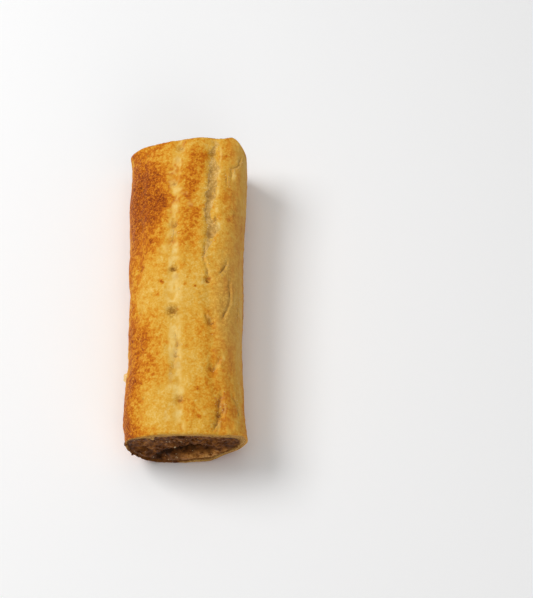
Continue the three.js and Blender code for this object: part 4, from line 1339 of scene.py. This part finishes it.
# %% [markdown]
# ## Scattered pieces
#
# Grains and crumbs of meat, flecks of fat and flakes of crust are many small things of a few kinds. One tree scatters
# all of them. It takes points on a carrier where an attribute of the carrier allows them, puts a low-faced ball on
# each, flattened, turned and sunk at random, and then pushes every ball about with noise so that no two are alike.

# %% The scattering tree
SCATTER_SIZES = ("Density", "Smallest", "Largest", "Flat", "Tumble", "Sink", "Uneven")
NARROWEST = 0.6  # how narrow a piece may be for its length
STRAY_SIZE = 0.9  # the size of the noise that makes every piece uneven


def scatter_tree():
    kinds = {"Where": "String", "Subdivisions": "Int", "Seed": "Int"} | dict.fromkeys(SCATTER_SIZES, "Float")
    tree, given = new_tree("scatter_pieces", kinds)
    start, tilt = given["Geometry"], given["Tumble"]

    def random(low, high, kind="FLOAT", seed=0):
        at, output = {"FLOAT_VECTOR": ((0, 1), 0), "FLOAT": ((2, 3), 1)}[kind]
        inputs = {at[0]: low, at[1]: high, "Seed": given["Seed"] + seed}
        return start.node("FunctionNodeRandomValue", {"data_type": kind}, inputs, output)

    where = start.attribute(given["Where"])
    inputs = {"Mesh": start, "Density": where * given["Density"], "Seed": given["Seed"]}
    points = start.node("GeometryNodeDistributePointsOnFaces", {}, inputs)
    size = given["Smallest"] + (given["Largest"] - given["Smallest"]) * random(0.0, 1.0) ** 2
    sunk = points.moved(points.output("Normal").scaled(size * given["Sink"] * -1))
    scale = start.vector(1.0, random(NARROWEST, 1.0, seed=1), given["Flat"]).scaled(size)
    lowest, highest = start.vector(tilt * -1, tilt * -1, -math.pi), start.vector(tilt, tilt, math.pi)
    turn = random(lowest, highest, "FLOAT_VECTOR", seed=2)
    inputs = {"Rotation": points.output("Rotation"), "Rotate By": turn}
    turned = start.node("FunctionNodeRotateRotation", {"rotation_space": "LOCAL"}, inputs)
    ball = start.node("GeometryNodeMeshIcoSphere", {}, {"Radius": 1.0, "Subdivisions": given["Subdivisions"]})
    inputs = {"Points": sunk, "Instance": ball, "Rotation": turned, "Scale": scale}
    placed = start.node("GeometryNodeInstanceOnPoints", {}, inputs)
    real = start.node("GeometryNodeRealizeInstances", {}, {"Geometry": placed})
    stray = start.noise(STRAY_SIZE, 1.0, output="Color").vector_sum("SUBTRACT", (0.5, 0.5, 0.5))
    uneven = real.moved(stray.scaled(given["Uneven"]))
    smooth = start.node("GeometryNodeSetShadeSmooth", {}, {"Geometry": uneven})
    end_tree(smooth, given["Finish"])
    return tree


scattering = scatter_tree()
print(len(scattering.nodes), "nodes in the scattering tree")


def scatter(carrier, name, finish, sizes):
    """Scatters one kind of piece over a carrier. Sizes are in metres, densities in pieces a square metre."""
    return run_tree(scattering, carrier, name, {**sizes, "Finish": finish})


# %% Grains, fat and crumbs
def speckled_material(name, dark, light, roughness, coat):
    """A plain finish for small pieces: a cloud of two colours."""
    constants = {"Roughness": roughness, "Coat Weight": coat, "Specular IOR Level": 0.2}
    material, shader, start, place = new_finish(name, constants)
    cloud = start.noise(FINE_SIZE, at=place)
    cloud.ramp([[0.35, linear(*dark)], [0.65, linear(*light)]]).into(shader.inputs["Base Color"])
    return material


meat_finish = sausage_meat.data.materials[0]
fat_finish = speckled_material("cooked_fat", (170, 130, 84), (226, 198, 150), roughness=0.18, coat=0.4)
flake_finish = speckled_material("pale_flakes", (222, 180, 106), (244, 220, 160), roughness=0.7, coat=0.0)
grain_sizes = {
    "Where": "scatter", "Density": 0.24e6, "Smallest": 0.5 * MM, "Largest": 1.6 * MM, "Flat": 0.6,
    "Tumble": 0.9, "Sink": 0.45, "Uneven": 0.9 * MM, "Subdivisions": 2, "Seed": 5,
}  # fmt: skip
fat_sizes = {
    **grain_sizes, "Density": 0.03e6, "Smallest": 0.2 * MM, "Largest": 0.5 * MM, "Sink": 0.1, "Seed": 21,
}  # fmt: skip
crumb_sizes = {
    **grain_sizes, "Where": "crumbs", "Density": 0.35e6, "Largest": 2.0 * MM, "Sink": 0.3, "Seed": 31,
}  # fmt: skip
flake_sizes = {
    **grain_sizes, "Where": "flaky", "Density": 0.9e6, "Smallest": 0.12 * MM, "Largest": 0.42 * MM,
    "Flat": 0.5, "Sink": 0.3, "Uneven": 0.2 * MM, "Subdivisions": 1, "Seed": 41,
}  # fmt: skip
mince_grains = scatter(sausage_meat, "mince_grains", meat_finish, grain_sizes)
fat_flecks = scatter(sausage_meat, "fat_flecks", fat_finish, fat_sizes)
meat_crumbs = scatter(baked_crust, "meat_crumbs", meat_finish, crumb_sizes)
crust_flakes = scatter(baked_crust, "crust_flakes", flake_finish, flake_sizes)
for pieces in (mince_grains, fat_flecks, meat_crumbs, crust_flakes):
    keep_in_box(pieces, cad_box)

# %% [markdown]
# ## The shard
#
# Low on the left side a shard of the top leaves has lifted and stands out from the wall. It is three thin leaves, one
# over the other, and each ends a little short of the one below. Each leaf is a tube of flat rings again, the rings
# standing across the shard, so the same mesh function closes it. It dried pale all over, and has its own finish.

# %% A lifted shard
SHARD = {"y": -39.8, "z": 12, "out": 4.6, "long": 6.5, "tilt": 0.35, "root": 2.2}
SHARD_LEAVES = [[0.0, 1.0, 1.0], [0.55, 0.85, 0.8], [1.1, 0.66, 0.55]]  # height, share of reach, of length
LEAF_THICK, LEAF_THINNEST = 0.42, 0.05
LEAF_CURL = 0.3  # how far a leaf curls up and down at its broken edge
LEAF_ROUND, LEAF_TORN = 0.55, 0.22  # how much shorter a leaf is at its two ends, and how uneven its edge
LEAF_JAGS, LEAF_OFFSET = 3.1, 7  # how often its edge is torn, and how unlike the next leaf's
LEAF_BOW, LEAF_BLUNT = 2.2, 6  # how soon it grows shorter towards its ends, and thinner
LEAF_POINTS, LEAF_RINGS = 24, 25


def shard_leaf(lift, reach_share, long_share):
    """The rings of one leaf, each a flat oval from the root out to the broken edge."""
    turn = np.linspace(0, 2 * np.pi, LEAF_POINTS, endpoint=False)
    outward, side = (1 - np.cos(turn)) / 2, np.sin(turn)
    rings = []
    for place in np.linspace(-1, 1, LEAF_RINGS):
        torn = rough(np.array(place * LEAF_JAGS + LEAF_OFFSET * lift), np.array(lift))
        ragged = 1 + LEAF_TORN * float(torn)
        reach = SHARD["out"] * reach_share * (1 - LEAF_ROUND * abs(place) ** LEAF_BOW) * ragged
        y = SHARD["y"] + place * SHARD["long"] / 2 * long_share
        thick = LEAF_THICK * (1 - abs(place) ** LEAF_BLUNT) + LEAF_THINNEST
        x = -outward * reach
        curl = LEAF_CURL * outward**2 * np.sin(4 * place + lift)
        z = lift + SHARD["tilt"] * (SHARD["root"] - x) + curl + side * thick / 2
        wall = SHARD["root"] - float(along(LEFT_WIDTH, y))
        rings.append(np.column_stack([wall + x, np.full(LEAF_POINTS, y), SHARD["z"] + z]))
    return rings


def join(pieces, name):
    """One object from several."""
    with bpy.context.temp_override(active_object=pieces[0], selected_editable_objects=pieces):
        bpy.ops.object.join()
    pieces[0].name = pieces[0].data.name = name
    return pieces[0]


def shard_mesh():
    leaves = [mesh_from_rings("lifted_shard", shard_leaf(*leaf), False, {}) for leaf in SHARD_LEAVES]
    return join(leaves, "lifted_shard")


shard_finish = speckled_material("dry_leaf", (240, 206, 128), (255, 236, 180), roughness=0.6, coat=0.0)
lifted_shard = shard_mesh()
lifted_shard.data.materials.append(shard_finish)
keep_in_box(lifted_shard, cad_box)
print("the shard holds", round(volume_cm3(lifted_shard), 3), "cubic centimetres")

# %% [markdown]
# ## What each piece is
#
# A sausage roll has no joints, so everything rides on one body.

# %% Pieces and bodies
PIECES = [
    [baked_crust, "pastry", "baked_pastry"],
    [lifted_shard, "pastry", "baked_pastry"],
    [sausage_meat, "filling", "sausage_meat"],
    [mince_grains, "filling", "sausage_meat"],
    [fat_flecks, "filling", "sausage_meat"],
    [meat_crumbs, "filling", "sausage_meat"],
    [crust_flakes, "pastry", "baked_pastry"],
]
for piece, node, slot in PIECES:
    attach(piece, "root")
    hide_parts(node)
    print(piece.name, len(piece.data.polygons), "faces, stands for", node)
